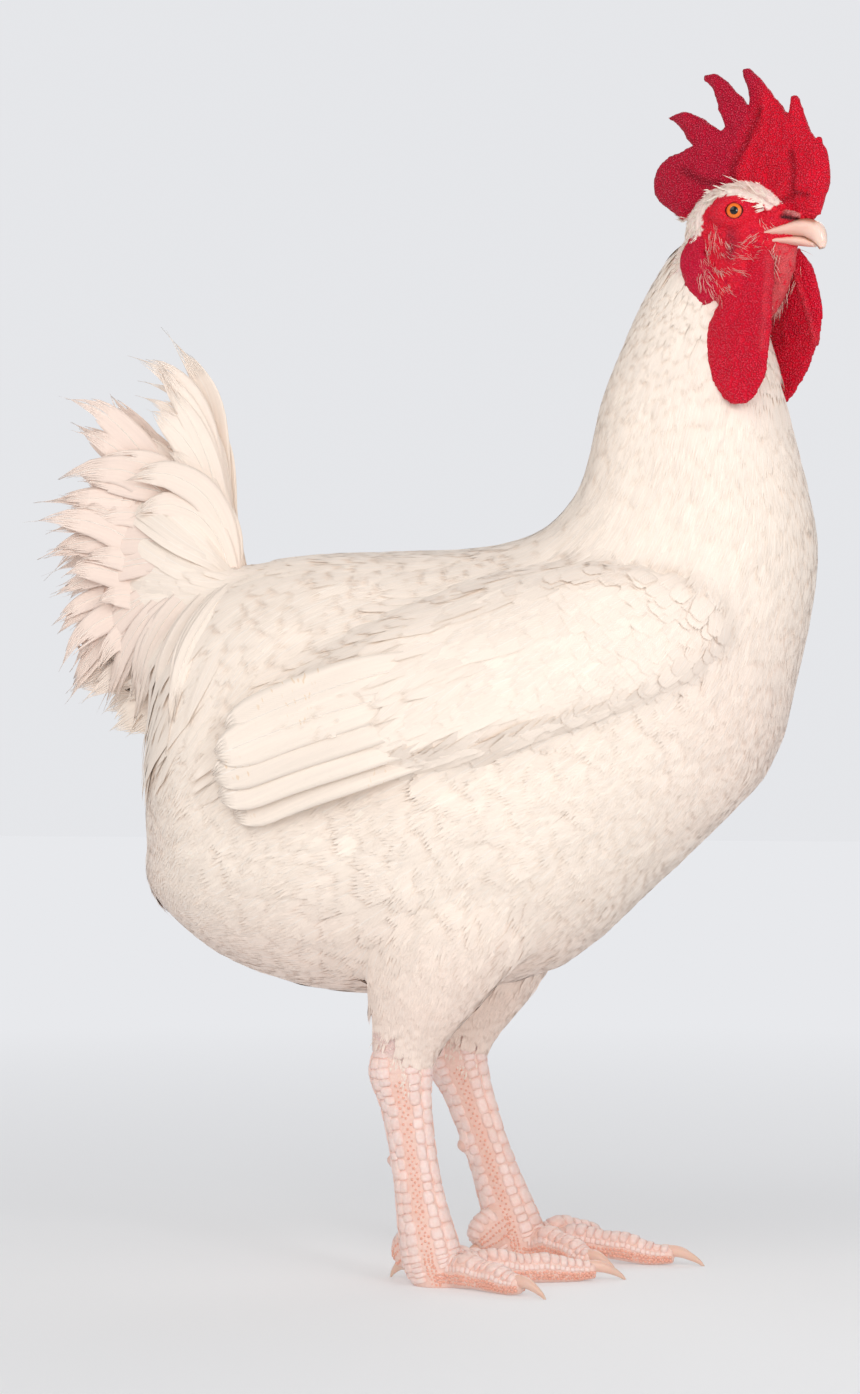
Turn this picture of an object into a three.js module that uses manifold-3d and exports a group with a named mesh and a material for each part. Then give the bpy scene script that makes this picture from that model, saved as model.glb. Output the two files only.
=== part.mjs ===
// A white meat-type rooster, standing, with its head turned to its right.
// Millimetres, +X towards the bird's front, +Y towards its left side, +Z up, the floor at z = 0.
// The flesh and plumage are closed forms lofted through ribs or swept along paths, parted by thin gaps.
import * as THREE from "three";
import { mergeVertices } from "three/addons/utils/BufferGeometryUtils.js";
import Module from "manifold-3d";

const wasm = await Module();
wasm.setup();

// ---------- driving dimensions ----------
const GAP = 0.3; // between solids that meet
const SIMPLIFY = 0.1; // how far a surface may move when its slivers are merged
const HEAD_AT = [162, -4, 539.5]; // centre of the skull
const HEAD_TURN = THREE.MathUtils.degToRad(-29); // the head looks to the bird's right
const EYE = { x: 6.5, y: 15.2, z: 5.2, radius: 7.2 }; // in the head's own frame
const LEG_SPREAD = 46; // each leg from the middle plane
const SHANK_DEPTH = 11.6; // half, front to back
const SHANK_WIDTH = 8.6; // half, side to side
const TOE_HEIGHT = 7.8; // half the height of a toe at its root
const CLAW_LENGTH = 16;
const COMB_THICKNESS = 2.9; // half, at mid-height of the blade
const WATTLE_THICKNESS = 2.6; // half

// ---------- colours ----------
const paint = (color, roughness) => new THREE.MeshStandardMaterial({ color, roughness, metalness: 0 });
const PLUMAGE = paint(0xf4e9df, 0.9);
const RED_SKIN = paint(0xc4162a, 0.6);
const FACE_SKIN = paint(0xd23a3f, 0.65);
const HORN = paint(0xecc3b4, 0.4);
const LEG_SKIN = paint(0xeebcab, 0.6);
const EYE_BALL = paint(0xd9571a, 0.1);

// ---------- shape tools ----------
const vec = (a) => new THREE.Vector3(...a);

// A closed geometry from rings of equal length, with a fan over each end.
function closedLoft(rings) {
  const around = rings[0].length;
  const points = rings.flat();
  const faces = [];
  for (let i = 0; i + 1 < rings.length; i++) {
    for (let j = 0; j < around; j++) {
      const a = i * around + j;
      const b = i * around + ((j + 1) % around);
      faces.push(a, b, a + around, b, b + around, a + around);
    }
  }
  for (const [ring, turned] of [[0, true], [rings.length - 1, false]]) {
    const middle = points.length;
    const sum = rings[ring].reduce((total, point) => total.add(point), vec([0, 0, 0]));
    points.push(sum.divideScalar(around));
    for (let j = 0; j < around; j++) {
      const a = ring * around + j;
      const b = ring * around + ((j + 1) % around);
      faces.push(...(turned ? [middle, b, a] : [middle, a, b]));
    }
  }
  const geometry = new THREE.BufferGeometry().setFromPoints(points);
  geometry.setIndex(faces);
  return geometry;
}

function turnedInsideOut(geometry) {
  const index = geometry.index.array;
  for (let i = 0; i < index.length; i += 3) {
    [index[i + 1], index[i + 2]] = [index[i + 2], index[i + 1]];
  }
  return geometry;
}

function solidOf(geometry) {
  const bare = new THREE.BufferGeometry();
  bare.setAttribute("position", geometry.getAttribute("position").clone());
  bare.setIndex(geometry.index ? geometry.index.clone() : null);
  const merged = mergeVertices(bare, 1e-4);
  const make = (shape) =>
    new wasm.Manifold(
      new wasm.Mesh({
        numProp: 3,
        vertProperties: new Float32Array(shape.attributes.position.array),
        triVerts: new Uint32Array(shape.index.array),
      }),
    );
  const solid = make(merged);
  return solid.volume() < 0 ? make(turnedInsideOut(merged)) : solid;
}

function geometryOf(solid) {
  const mesh = solid.getMesh();
  const geometry = new THREE.BufferGeometry();
  geometry.setAttribute("position", new THREE.BufferAttribute(new Float32Array(mesh.vertProperties), 3));
  geometry.setIndex(new THREE.BufferAttribute(new Uint32Array(mesh.triVerts), 1));
  return geometry;
}

const cut = (solid, ...others) => others.reduce((left, other) => left.subtract(other), solid);
// The largest body of a cut solid, without the slivers that a grazing cut leaves.
const mainPiece = (solid) => solid.decompose().sort((a, b) => b.volume() - a.volume())[0];
const joined = (solids) => solids.reduce((sum, solid) => sum.add(solid));

// A smooth run of numbers through the rows of a table, read from 0 to 1.
function smoothRows(rows) {
  const width = rows[0].length;
  const curves = [];
  for (let at = 0; at < width; at += 3) {
    const padded = rows.map((row) => vec([row[at], row[at + 1] ?? 0, row[at + 2] ?? 0]));
    curves.push(new THREE.CatmullRomCurve3(padded, false, "catmullrom", 0.5));
  }
  return (t) => curves.flatMap((curve) => curve.getPoint(t).toArray()).slice(0, width);
}

// A point on a flattened ellipse: power 2 is an ellipse, more is boxier.
function ovalPoint(angle, power) {
  const bend = (value) => Math.sign(value) * Math.abs(value) ** (2 / power);
  return [bend(Math.cos(angle)), bend(Math.sin(angle))];
}

// Ribs stand across the body: each row is back x, back z, belly x, belly z, half width, and they bulge
// along Y. The cross-section is an oval, widest a little below its middle.
function ribLoft(rows, { rings, around, grow = 0, power = 2.2, sideAt = () => 0, low = 0.12 }) {
  const read = smoothRows(rows);
  const loop = [];
  for (let i = 0; i <= rings; i++) {
    const t = i / rings;
    const [backX, backZ, bellyX, bellyZ, half] = read(t);
    const back = vec([backX, 0, backZ]);
    const belly = vec([bellyX, 0, bellyZ]);
    const middle = back.clone().add(belly).multiplyScalar(0.5);
    const up = back.clone().sub(belly).multiplyScalar(0.5);
    const tall = up.length();
    up.normalize();
    const ring = [];
    for (let j = 0; j < around; j++) {
      const [high, wide] = ovalPoint((2 * Math.PI * j) / around, power);
      const droop = -low * tall * Math.abs(wide) * (1 - Math.abs(high));
      const point = middle.clone().addScaledVector(up, (tall + grow) * high + droop);
      point.y = sideAt(t, point) + (half + grow) * wide;
      ring.push(point);
    }
    loop.push(ring);
  }
  return closedLoft(loop);
}

// A sweep along a path. Each row is x, y, z, half width, half height; flat is the direction that the height
// is measured along, as near as the path allows.
function sweep(rows, { rings, around, grow = 0, power = 2, flat = [0, 0, 1], startAngle = 0 }) {
  const read = smoothRows(rows);
  const step = 1e-3;
  const loop = [];
  for (let i = 0; i <= rings; i++) {
    const t = i / rings;
    const [x, y, z, halfWidth, halfHeight] = read(t);
    const before = vec(read(Math.max(0, t - step)).slice(0, 3));
    const after = vec(read(Math.min(1, t + step)).slice(0, 3));
    const along = after.sub(before).normalize();
    const side = vec(flat).cross(along).normalize();
    const up = along.clone().cross(side);
    const overshoot = i === 0 ? -grow : i === rings ? grow : 0;
    const ring = [];
    for (let j = 0; j < around; j++) {
      const [wide, high] = ovalPoint((2 * Math.PI * j) / around + startAngle, power);
      ring.push(
        vec([x, y, z])
          .addScaledVector(side, (halfWidth + grow) * wide)
          .addScaledVector(up, (halfHeight + grow) * high)
          .addScaledVector(along, overshoot),
      );
    }
    loop.push(ring);
  }
  return closedLoft(loop);
}

function box(low, high) {
  const size = high.map((value, i) => value - low[i]);
  const middle = high.map((value, i) => (value + low[i]) / 2);
  return new THREE.BoxGeometry(...size).translate(...middle);
}

// Both halves of a solid, parted by a thin gap on the plane through two points of the middle plane.
function parted(solid, backPoint, bellyPoint) {
  const REACH = 900;
  const [bx, bz] = backPoint;
  const angle = Math.atan2(bellyPoint[0] - bx, bz - bellyPoint[1]);
  const half = (sign) =>
    solidOf(
      box([sign > 0 ? GAP / 2 : -REACH, -REACH, -REACH], [sign > 0 ? REACH : -GAP / 2, REACH, REACH])
        .rotateY(-angle)
        .translate(bx, 0, bz),
    );
  return [solid.intersect(half(-1)), solid.intersect(half(1))];
}

const mirrored = (rows) => rows.map(([x, y, ...rest]) => [x, -y, ...rest]);

// ---------- the built nodes ----------
const rooster = new THREE.Group();
const headGroup = new THREE.Group();
headGroup.position.set(...HEAD_AT);
headGroup.rotation.z = HEAD_TURN;
headGroup.updateMatrix();
const headPlace = headGroup.matrix.clone();

function addNode(name, solid, material, group = rooster) {
  const mesh = new THREE.Mesh(geometryOf(mainPiece(solid.setTolerance(SIMPLIFY))), material);
  mesh.name = name;
  group.add(mesh);
}
const placedHead = (geometry) => solidOf(geometry.clone().applyMatrix4(headPlace));

// ---------- trunk, rump and neck ----------
const RIBS = [
  // back x, back z, belly x, belly z, half width
  [-151, 258, -156, 234, 14],
  [-146, 298, -151, 206, 45],
  [-127, 342, -134, 183, 69],
  [-96, 367, -106, 161, 82],
  [-58, 374, -66, 147, 88],
  [-20, 375, -20, 143, 90],
  [18, 376, 30, 147, 90],
  [44, 380, 74, 161, 87],
  [62, 387, 110, 193, 82],
  [74, 399, 150, 231, 76],
  [80, 409, 179, 263, 69],
  [83, 420, 191, 306, 63],
  [86, 434, 200, 348, 56],
  [89, 449, 202, 378, 48],
  [94, 465, 197, 405, 40],
  [100, 481, 190, 433, 33.5],
  [105, 496, 185, 457, 28],
  [113, 512, 178, 482, 23.5],
  [124, 528, 170, 506, 19],
  [136, 538, 161, 527, 15],
];
const TRUNK_RINGS = 33;
const TRUNK_AROUND = 22;
const RUMP_CUT = [[-106, 372], [-108, 160]];
const NECK_CUT = [[84, 421], [188, 312]];
const NECK_TWIST = { pivot: [150, 0], from: 425, to: 540 }; // heights between which it turns with the head

function turnedWithHead(geometry) {
  const points = geometry.attributes.position;
  for (let i = 0; i < points.count; i++) {
    const angle = HEAD_TURN * THREE.MathUtils.smoothstep(points.getZ(i), NECK_TWIST.from, NECK_TWIST.to);
    const place = new THREE.Vector2(points.getX(i), points.getY(i));
    place.rotateAround(new THREE.Vector2(...NECK_TWIST.pivot), angle);
    points.setXY(i, place.x, place.y);
  }
  return geometry;
}
const bodyLoft = (grow) =>
  solidOf(turnedWithHead(ribLoft(RIBS, { rings: TRUNK_RINGS, around: TRUNK_AROUND, grow })));
const body = bodyLoft(0);
const bodyRoom = bodyLoft(GAP);

// The body's half width at a point of the middle plane, measured on the same ribs.
function bodySide(x, z) {
  const read = smoothRows(RIBS);
  let widest = 0;
  for (let t = 0; t <= 1; t += 0.01) {
    const [backX, backZ, bellyX, bellyZ, half] = read(t);
    const rib = new THREE.Vector2(backX - bellyX, backZ - bellyZ);
    const from = new THREE.Vector2(x - (backX + bellyX) / 2, z - (backZ + bellyZ) / 2);
    const off = Math.abs(from.cross(rib)) / rib.length();
    if (off > 5) continue;
    const high = Math.min(1, Math.abs((2 * from.dot(rib)) / rib.lengthSq()));
    widest = Math.max(widest, half * (1 - high ** 2.2) ** (1 / 2.2));
  }
  return widest;
}

// ---------- head ----------
const HEAD_RIBS = [
  [-28, 2, -27, -12, 9],
  [-23, 12, -21, -22, 15],
  [-13, 19, -12, -27, 18],
  [0, 22, -1, -28, 19],
  [12, 20, 10, -27, 17],
  [23, 14, 20, -23, 13],
  [32, 7, 29, -19, 9],
  [39, 2, 35, -14, 5.5],
];
const headLoft = (grow) => ribLoft(HEAD_RIBS, { rings: 10, around: 14, grow, power: 2.1, low: 0.05 });
const eyeBall = (side, grow) =>
  new THREE.SphereGeometry(EYE.radius + grow, 10, 7).translate(EYE.x, side * EYE.y, EYE.z);

// The brow over each eye stands out from the skull.
const BROW = [
  [-8, 12.4, 12, 3, 2.2],
  [5, 13.6, 14, 5, 3],
  [18, 10.8, 10, 4.4, 2.6],
  [28, 7, 4, 2.4, 1.8],
];
const facePads = (grow) =>
  [BROW, mirrored(BROW)].map((path) => sweep(path, { rings: 4, around: 5, grow }));

// ---------- beak ----------
const UPPER_BEAK = [
  [20, 0, -2.6, 9, 5.2],
  [30, 0, -1.8, 8, 5.2],
  [40, 0, -2.4, 6.5, 5],
  [46, 0, -5, 4.6, 4.4],
  [49.6, 0, -10, 2.7, 3],
  [50.2, 0, -15.4, 0.9, 1.1],
];
const LOWER_BEAK = [
  [20, 0, -11.6, 8.2, 2.8],
  [30, 0, -10.8, 7.2, 3],
  [38, 0, -10.8, 5.8, 3],
  [44, 0, -12.4, 3.9, 2.4],
  [48, 0, -14.2, 1.8, 1.3],
];
const upperBeak = (grow) => sweep(UPPER_BEAK, { rings: 7, around: 8, grow, power: 2.1 });
const lowerBeak = (grow) => sweep(LOWER_BEAK, { rings: 5, around: 8, grow, power: 2.1 });

// ---------- comb ----------
// The blade stands on the skull and waves gently from side to side; its points lean back.
const combWave = (x) => 2.6 * Math.sin((x + 10) / 15) + 0.03 * x;
const COMB_RIBS = [
  // top x, z, bottom x, z, half thickness
  [-53, 28, -51, 18, 1.4],
  [-46, 36, -43, 9, 2.6],
  [-31, 41, -31, 5, 3.2],
  [-18, 47, -20, 9, 3.6],
  [-6, 52, -6, 17, 4],
  [10, 59, 8, 16, 4.4],
  [26, 56, 18, 9, 5],
  [37, 48, 29, 4, 5.2],
  [44, 42, 40, 0, 4.8],
  [51.5, 36, 48, 3, 3.4],
  [54.5, 24, 52, 14, 1.6],
];
const COMB_POINTS = [
  // rows run from root to tip: x, z, half width
  [[-16, 41, 9], [-27, 50, 7], [-39, 57.5, 2]],
  [[2, 50, 10], [-6, 65, 7], [-17.5, 77.5, 2]],
  [[20, 50, 10.5], [13, 66, 7], [4, 79.5, 1.8]],
  [[33, 44, 7], [34, 54, 4.4], [34, 64.5, 1.4]],
  [[44, 34, 4], [47, 38, 3], [49.5, 42.5, 1]],
];
function combSolid(grow) {
  const blade = ribLoft(COMB_RIBS, {
    rings: 12, around: 8, grow, power: 2.4, low: 0, sideAt: (t, point) => combWave(point.x),
  });
  const points = COMB_POINTS.map((rows) =>
    sweep(
      rows.map(([x, z, half]) => [x, combWave(x), z, half, Math.min(COMB_THICKNESS, 0.8 + half * 0.42)]),
      { rings: 3, around: 6, grow, flat: [0, 1, 0] },
    ),
  );
  return joined([blade, ...points].map(solidOf));
}

// ---------- wattles and ear lobes ----------
const WATTLES = {
  // x, y, z, half width (along the head), half thickness
  right: [
    [21, -10, -13, 5, 2.4],
    [18.5, -14, -26, 11, 3],
    [17, -20, -42, 16, WATTLE_THICKNESS],
    [16.5, -25, -59, 19.5, WATTLE_THICKNESS],
    [19, -28, -75, 16, 2.4],
    [21, -29.5, -87, 9, 1.8],
    [21.5, -30, -92, 3, 1],
  ],
  left: [
    [23, 10, -13, 6, 2.4],
    [24, 14, -27, 13, 3],
    [21.5, 19, -43, 17, WATTLE_THICKNESS],
    [14, 24, -59, 16, WATTLE_THICKNESS],
    [8, 27, -74, 12.5, 2.4],
    [3.5, 28.5, -86, 7, 1.8],
    [2.5, 29, -90, 3, 1],
  ],
};
const EAR_LOBE = [
  [-15, 18, -7, 4, 1.8],
  [-15, 21, -18, 7.5, 2.6],
  [-9, 22.5, -30, 7.5, 2.6],
  [-3, 22.5, -40, 4, 1.6],
];
const rightOf = (rows, side) => (side < 0 ? mirrored(rows) : rows);
const wattle = (side, grow) =>
  sweep(side < 0 ? WATTLES.right : WATTLES.left, { rings: 9, around: 8, grow, flat: [0, 1, 0] });
const earLobe = (side, grow) =>
  sweep(rightOf(EAR_LOBE, side), { rings: 5, around: 6, grow, flat: [0, 1, 0] });

const headSolid = (grow) => joined([headLoft(grow), ...facePads(grow)].map(solidOf));
const headRoom = headSolid(GAP);
const beakRoom = joined([upperBeak(GAP), lowerBeak(GAP)].map(solidOf));
const upperRoom = solidOf(upperBeak(GAP));
const comb = mainPiece(cut(combSolid(0), headRoom, upperRoom));
const headCut = cut(headSolid(0), beakRoom, solidOf(eyeBall(1, GAP)), solidOf(eyeBall(-1, GAP)));
addNode("head", headCut, FACE_SKIN, headGroup);
addNode("comb", comb, RED_SKIN, headGroup);
addNode("beak_upper", solidOf(upperBeak(0)), HORN, headGroup);
addNode("beak_lower", cut(solidOf(lowerBeak(0)), upperRoom), HORN, headGroup);

// ---------- body nodes ----------
const headWorldRoom = placedHead(headLoft(GAP)).add(joined(facePads(GAP).map(placedHead)));
const [behindNeck, neckPiece] = parted(body, ...NECK_CUT);
const [rump, trunk] = parted(behindNeck, ...RUMP_CUT);
const toHead = headPlace.clone().invert();
const neckRoom = solidOf(geometryOf(bodyRoom).applyMatrix4(toHead));
const neck = mainPiece(cut(neckPiece, headWorldRoom));

for (const [word, side] of [["left", 1], ["right", -1]]) {
  addNode(`eye_${word}`, solidOf(eyeBall(side, 0)), EYE_BALL, headGroup);
  const lobe = mainPiece(cut(solidOf(earLobe(side, 0)), headRoom, neckRoom));
  addNode(`ear_lobe_${word}`, lobe, RED_SKIN, headGroup);
  const lobeRoom = solidOf(earLobe(side, GAP));
  const hanging = mainPiece(cut(solidOf(wattle(side, 0)), headRoom, beakRoom, lobeRoom, neckRoom));
  addNode(`wattle_${word}`, hanging, RED_SKIN, headGroup);
}

// ---------- wings ----------
const WING_RIBS = [
  // top x, z, bottom x, z, half thickness
  [164, 341, 161, 328, 3],
  [153, 354, 149, 311, 8],
  [122, 364, 112, 292, 12],
  [76, 366, 70, 277, 14],
  [28, 352, 34, 267, 14],
  [-14, 332, -6, 262, 12],
  [-44, 313, -36, 257, 8],
  [-66, 300, -62, 264, 4],
];
const WING_SINK = 5; // how far the wing's middle lies outside the body's side
const FLIGHT_TIPS = [
  // where each group of flight feathers ends: x, z
  [-80, 237],
  [-88, 246],
  [-93, 257],
  [-95, 268],
  [-90, 281],
];
const FLIGHT = { thick: 1.3, half: 14, rise: 9 };

function wingBow(side, grow) {
  const least = (x) => 44 - Math.max(0, (x - 110) * 0.25);
  const out = (point) => Math.max(bodySide(point.x, point.z), least(point.x)) + WING_SINK;
  const sideAt = (t, point) => side * out(point);
  return ribLoft(WING_RIBS, { rings: 11, around: 9, grow, power: 2.2, low: 0, sideAt });
}

// Long flight feathers laid over one another like a closed fan, reaching back under the saddle.
function wingFlights(side, grow) {
  const blades = FLIGHT_TIPS.map(([tipX, tipZ], i) => {
    const outward = (x) => side * (bodySide(x, 262) + 5 - i * 1.2);
    const root = [24, 276 + i * FLIGHT.rise];
    const at = (t, half, thick) => {
      const x = root[0] + (tipX - root[0]) * t;
      return [x, outward(x), root[1] + (tipZ - root[1]) * t, FLIGHT.half * half, FLIGHT.thick * thick];
    };
    const rows = [at(0, 0.7, 1), at(0.45, 1, 1), at(0.8, 0.85, 1), at(1, 0.25, 0.8)];
    return sweep(rows, { rings: 3, around: 4, grow, flat: [0, 1, 0] });
  });
  return joined(blades.map(solidOf));
}

// ---------- thighs, shanks and feet ----------
const LEGS = [
  // hock, ankle and knee are x, z; toeIn and splay turn the toes, and arch lifts them in the middle
  { word: "right", side: -1, hock: [-7, 110], ankle: [6, 25], knee: [24, 190], toeIn: 20, splay: 1, arch: 0.4 },
  { word: "left", side: 1, hock: [6, 108], ankle: [35, 24], knee: [30, 190], toeIn: 3, splay: 0.65, arch: 3.4 },
];
const TOES = [
  // name, angle from the middle toe towards the outside, length without the claw, root half width
  { name: "inner", angle: -46, length: 50, half: 6.8 },
  { name: "middle", angle: 0, length: 82, half: 7.8 },
  { name: "outer", angle: 52, length: 56, half: 7 },
];
const HALLUX = { angle: -143, length: 22, half: 6.8 };

function thighRows(leg) {
  const y = leg.side * LEG_SPREAD;
  return [
    [leg.knee[0] + 6, y * 1.16, leg.knee[1] + 20, 20, 38],
    [leg.knee[0], y * 1.18, leg.knee[1], 27, 42],
    [leg.hock[0] + 13, y * 1.1, leg.hock[1] + 44, 23, 31],
    [leg.hock[0] + 3, y * 1.02, leg.hock[1] + 16, 15, 21],
    [leg.hock[0], y, leg.hock[1] - 6, 10.2, 15],
  ];
}

function shankRows(leg) {
  const y = leg.side * LEG_SPREAD;
  const [hx, hz] = leg.hock;
  const [ax, az] = leg.ankle;
  const at = (t) => [hx + (ax - hx) * t, y, hz + (az - hz) * t];
  return [
    [hx - 1, y, hz + 18, 9, 9],
    [...at(0), 11.4, 16.2],
    [...at(0.22), 9.4, 13],
    [...at(0.55), SHANK_WIDTH, SHANK_DEPTH],
    [...at(0.82), 9.6, 12.8],
    [ax + 2, y, az - 6, 13, 15],
    [ax + 5, y, az - 17, 13, 14.5],
    [ax + 9, y, -5, 10, 10],
  ];
}

// A bud-like spur on the inner side of the shank, behind.
function spur(leg) {
  const [hx, hz] = leg.hock;
  const [ax, az] = leg.ankle;
  const at = 0.56;
  const x = hx + (ax - hx) * at - SHANK_DEPTH + 1;
  const z = hz + (az - hz) * at;
  return new THREE.SphereGeometry(4.6, 7, 5).translate(x, leg.side * (LEG_SPREAD - 4), z);
}

function toePath(leg, toe) {
  const outward = THREE.MathUtils.degToRad(toe.angle * leg.splay - leg.toeIn) * leg.side;
  const aim = [Math.cos(outward), Math.sin(outward)];
  const root = [leg.ankle[0] + 6, leg.side * LEG_SPREAD];
  const at = (reach) => root.map((value, i) => value + aim[i] * reach);
  return { aim, at };
}

// A toe: a low arch of joints with a pad under each, flat where it stands.
function toeRows(leg, toe) {
  const { at } = toePath(leg, toe);
  const start = 5;
  const count = 6;
  const rows = [];
  for (let i = 0; i <= count; i++) {
    const t = i / count;
    const knuckle = 1 + 0.07 * Math.cos(t * Math.PI * count);
    const height = TOE_HEIGHT * (1.2 - 0.5 * t) * knuckle;
    const half = toe.half * (1.12 - 0.36 * t) * knuckle;
    const tip = i === count ? 0.72 : 1;
    const lift = leg.arch * (toe.name === "outer" ? 2 : 1) * Math.sin(Math.PI * Math.min(1, t * 1.1)) ** 2;
    rows.push([...at(start + (toe.length - start) * t), height - 0.6 + lift, half * tip, height * tip]);
  }
  return rows;
}

function halluxRows(leg) {
  const { at } = toePath(leg, { angle: (HALLUX.angle + leg.toeIn) / leg.splay });
  return [
    [...at(5), 19, HALLUX.half * 0.8, 7],
    [...at(12), 14, HALLUX.half * 1.05, 8],
    [...at(HALLUX.length), 9, HALLUX.half, 8],
    [...at(HALLUX.length + 4), 7.5, HALLUX.half * 0.7, 5.6],
  ];
}

function clawRows(leg, toe, lift, length) {
  const { at } = toePath(leg, toe);
  return [
    [...at(toe.length - 6), lift + 1.6, 3.1, 3.1],
    [...at(toe.length + length * 0.15), lift + 1.2, 2.8, 3],
    [...at(toe.length + length * 0.5), lift - 0.8, 2.1, 2.2],
    [...at(toe.length + length * 0.82), lift - 3.6, 1.2, 1.3],
    [...at(toe.length + length), lift - 6.2, 0.5, 0.5],
  ];
}

const ABOVE_FLOOR = solidOf(box([-400, -400, 0], [400, 400, 800]));

const thighRooms = [];
for (const leg of LEGS) {
  const shankLook = { rings: 11, around: 10, flat: [1, 0, 0.2] };
  const thighLook = { rings: 7, around: 12, flat: [1, 0, -0.4] };
  const shankSweep = (grow) => solidOf(sweep(shankRows(leg), { ...shankLook, grow }));
  const shankRoom = shankSweep(GAP);
  const thighShape = (grow) => solidOf(sweep(thighRows(leg), { ...thighLook, grow }));
  addNode(`thigh_${leg.word}`, mainPiece(cut(thighShape(0), bodyRoom, shankRoom)), PLUMAGE);
  thighRooms.push(thighShape(GAP));
  const shank = joined([shankSweep(0), solidOf(spur(leg))]).intersect(ABOVE_FLOOR);
  addNode(`shank_${leg.word}`, shank, LEG_SKIN);

  const taken = [shankRoom];
  for (const toe of TOES) {
    const shape = (grow) => solidOf(sweep(toeRows(leg, toe), { rings: 6, around: 7, grow, power: 2.3 }));
    addNode(`toe_${toe.name}_${leg.word}`, cut(shape(0), ...taken).intersect(ABOVE_FLOOR), LEG_SKIN);
    const claw = solidOf(sweep(clawRows(leg, toe, 6, CLAW_LENGTH), { rings: 3, around: 5 }));
    addNode(`claw_${toe.name}_${leg.word}`, cut(claw, shape(GAP)).intersect(ABOVE_FLOOR), HORN);
    taken.push(shape(GAP));
  }
  const backToe = (grow) => solidOf(sweep(halluxRows(leg), { rings: 5, around: 8, grow }));
  addNode(`toe_back_${leg.word}`, cut(backToe(0), ...taken).intersect(ABOVE_FLOOR), LEG_SKIN);
  const backAim = { angle: (HALLUX.angle + leg.toeIn) / leg.splay, length: HALLUX.length + 3 };
  const backClaw = solidOf(sweep(clawRows(leg, backAim, 6.5, 10), { rings: 3, around: 5 }));
  addNode(`claw_back_${leg.word}`, cut(backClaw, backToe(GAP)).intersect(ABOVE_FLOOR), HORN);
}

// ---------- tail ----------
// The feathers fan from a short line of roots; each one ends at its own tip and bends back on the way.
const TAIL_ROOTS = [[-113, 352], [-122, 312]];
const TAIL_FAN = [
  // tip x, z, place on the line of roots, half width, distance from the middle plane at root and tip, bend
  [-127, 471, 0, 12, 9, 12, 3],
  [-131, 468, 0, 12, -9, -14, 3],
  [-154, 446, 0.15, 13, 4, 7, 6],
  [-171, 457, 0.2, 12, -5, -8, 9],
  [-189, 454, 0.3, 12, 9, 16, 10],
  [-194, 432, 0.4, 13, -10, -18, 9],
  [-198, 411, 0.5, 13, 12, 22, 8],
  [-203, 389, 0.6, 13, -13, -24, 8],
  [-205, 364, 0.7, 13, 14, 25, 8],
  [-201, 338, 0.8, 15, -15, -25, 7],
  [-195, 314, 0.9, 15, 15, 23, 6],
  [-182, 299, 1, 16, -14, -20, 6],
];
const SICKLES = [
  { word: "left", blade: [-158, 476, 0.05, 14, 2, 3, 6] },
  { word: "right", blade: [-141, 487, 0, 13, -2, -4, 5] },
];
const BLADE_THICKNESS = 2; // half

function tailBlade([tipX, tipZ, place, half, sideRoot, sideTip, bend], grow) {
  const root = TAIL_ROOTS[0].map((value, i) => value + (TAIL_ROOTS[1][i] - value) * place);
  const run = [tipX - root[0], tipZ - root[1]];
  const length = Math.hypot(...run);
  const rows = [0, 0.3, 0.6, 0.85, 1].map((t) => {
    const off = (bend * 4 * t * (1 - t)) / length;
    const wide = half * Math.max(0.14, Math.sin(Math.PI * (0.24 + 0.76 * t)) ** 0.5);
    const y = sideRoot + (sideTip - sideRoot) * t;
    return [root[0] + run[0] * t + run[1] * off, y, root[1] + run[1] * t - run[0] * off, wide,
      BLADE_THICKNESS * (1 - 0.5 * t)];
  });
  return solidOf(sweep(rows, { rings: 4, around: 4, grow, flat: [0, 1, 0] }));
}

// The fluffed base that the tail feathers grow from.
const TAIL_BASE = [
  // top x, z, bottom x, z, half width
  [-94, 364, -102, 298, 34],
  [-108, 388, -124, 282, 35],
  [-122, 400, -142, 286, 32],
  [-136, 404, -156, 300, 24],
  [-147, 400, -166, 320, 14],
  [-155, 388, -168, 344, 5],
];
const tailBase = solidOf(ribLoft(TAIL_BASE, { rings: 6, around: 10, low: 0 }));
const sickles = SICKLES.map(({ blade }) => tailBlade(blade, 0));
const fan = joined([tailBase, ...TAIL_FAN.map((blade) => tailBlade(blade, 0))]);
const sickleRoom = joined(SICKLES.map(({ blade }) => tailBlade(blade, GAP)));
addNode("tail", mainPiece(cut(fan, bodyRoom, sickleRoom)), PLUMAGE);
addNode("sickle_left", mainPiece(cut(sickles[0], bodyRoom, tailBlade(SICKLES[1].blade, GAP))), PLUMAGE);
addNode("sickle_right", mainPiece(cut(sickles[1], bodyRoom)), PLUMAGE);

// ---------- plumage nodes ----------
addNode("trunk", trunk, PLUMAGE);
addNode("rump", rump, PLUMAGE);
addNode("neck", neck, PLUMAGE);
for (const [word, side] of [["left", 1], ["right", -1]]) {
  const bow = cut(solidOf(wingBow(side, 0)), bodyRoom);
  addNode(`wing_${word}`, bow, PLUMAGE);
  addNode(
    `flight_feathers_${word}`,
    mainPiece(cut(wingFlights(side, 0), bodyRoom, solidOf(wingBow(side, GAP)), ...thighRooms)),
    PLUMAGE,
  );
}
rooster.add(headGroup);

// The origin is the middle of the footprint of the whole bird, on the floor.
const bounds = new THREE.Box3().setFromObject(rooster, true);
const middle = bounds.getCenter(new THREE.Vector3());
const origin = new THREE.Vector3(middle.x, middle.y, bounds.min.z);
rooster.children.forEach((child) => child.position.sub(origin));

export default rooster;
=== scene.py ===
"""A white meat-type rooster, standing with its head turned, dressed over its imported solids.

Lengths in the tables are millimetres in the part's own frame: +X towards the bird's front, +Y its left
and +Z up. Tables of the head are measured from the skull's centre, before the head is turned.
"""

import math
from functools import cache

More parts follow.
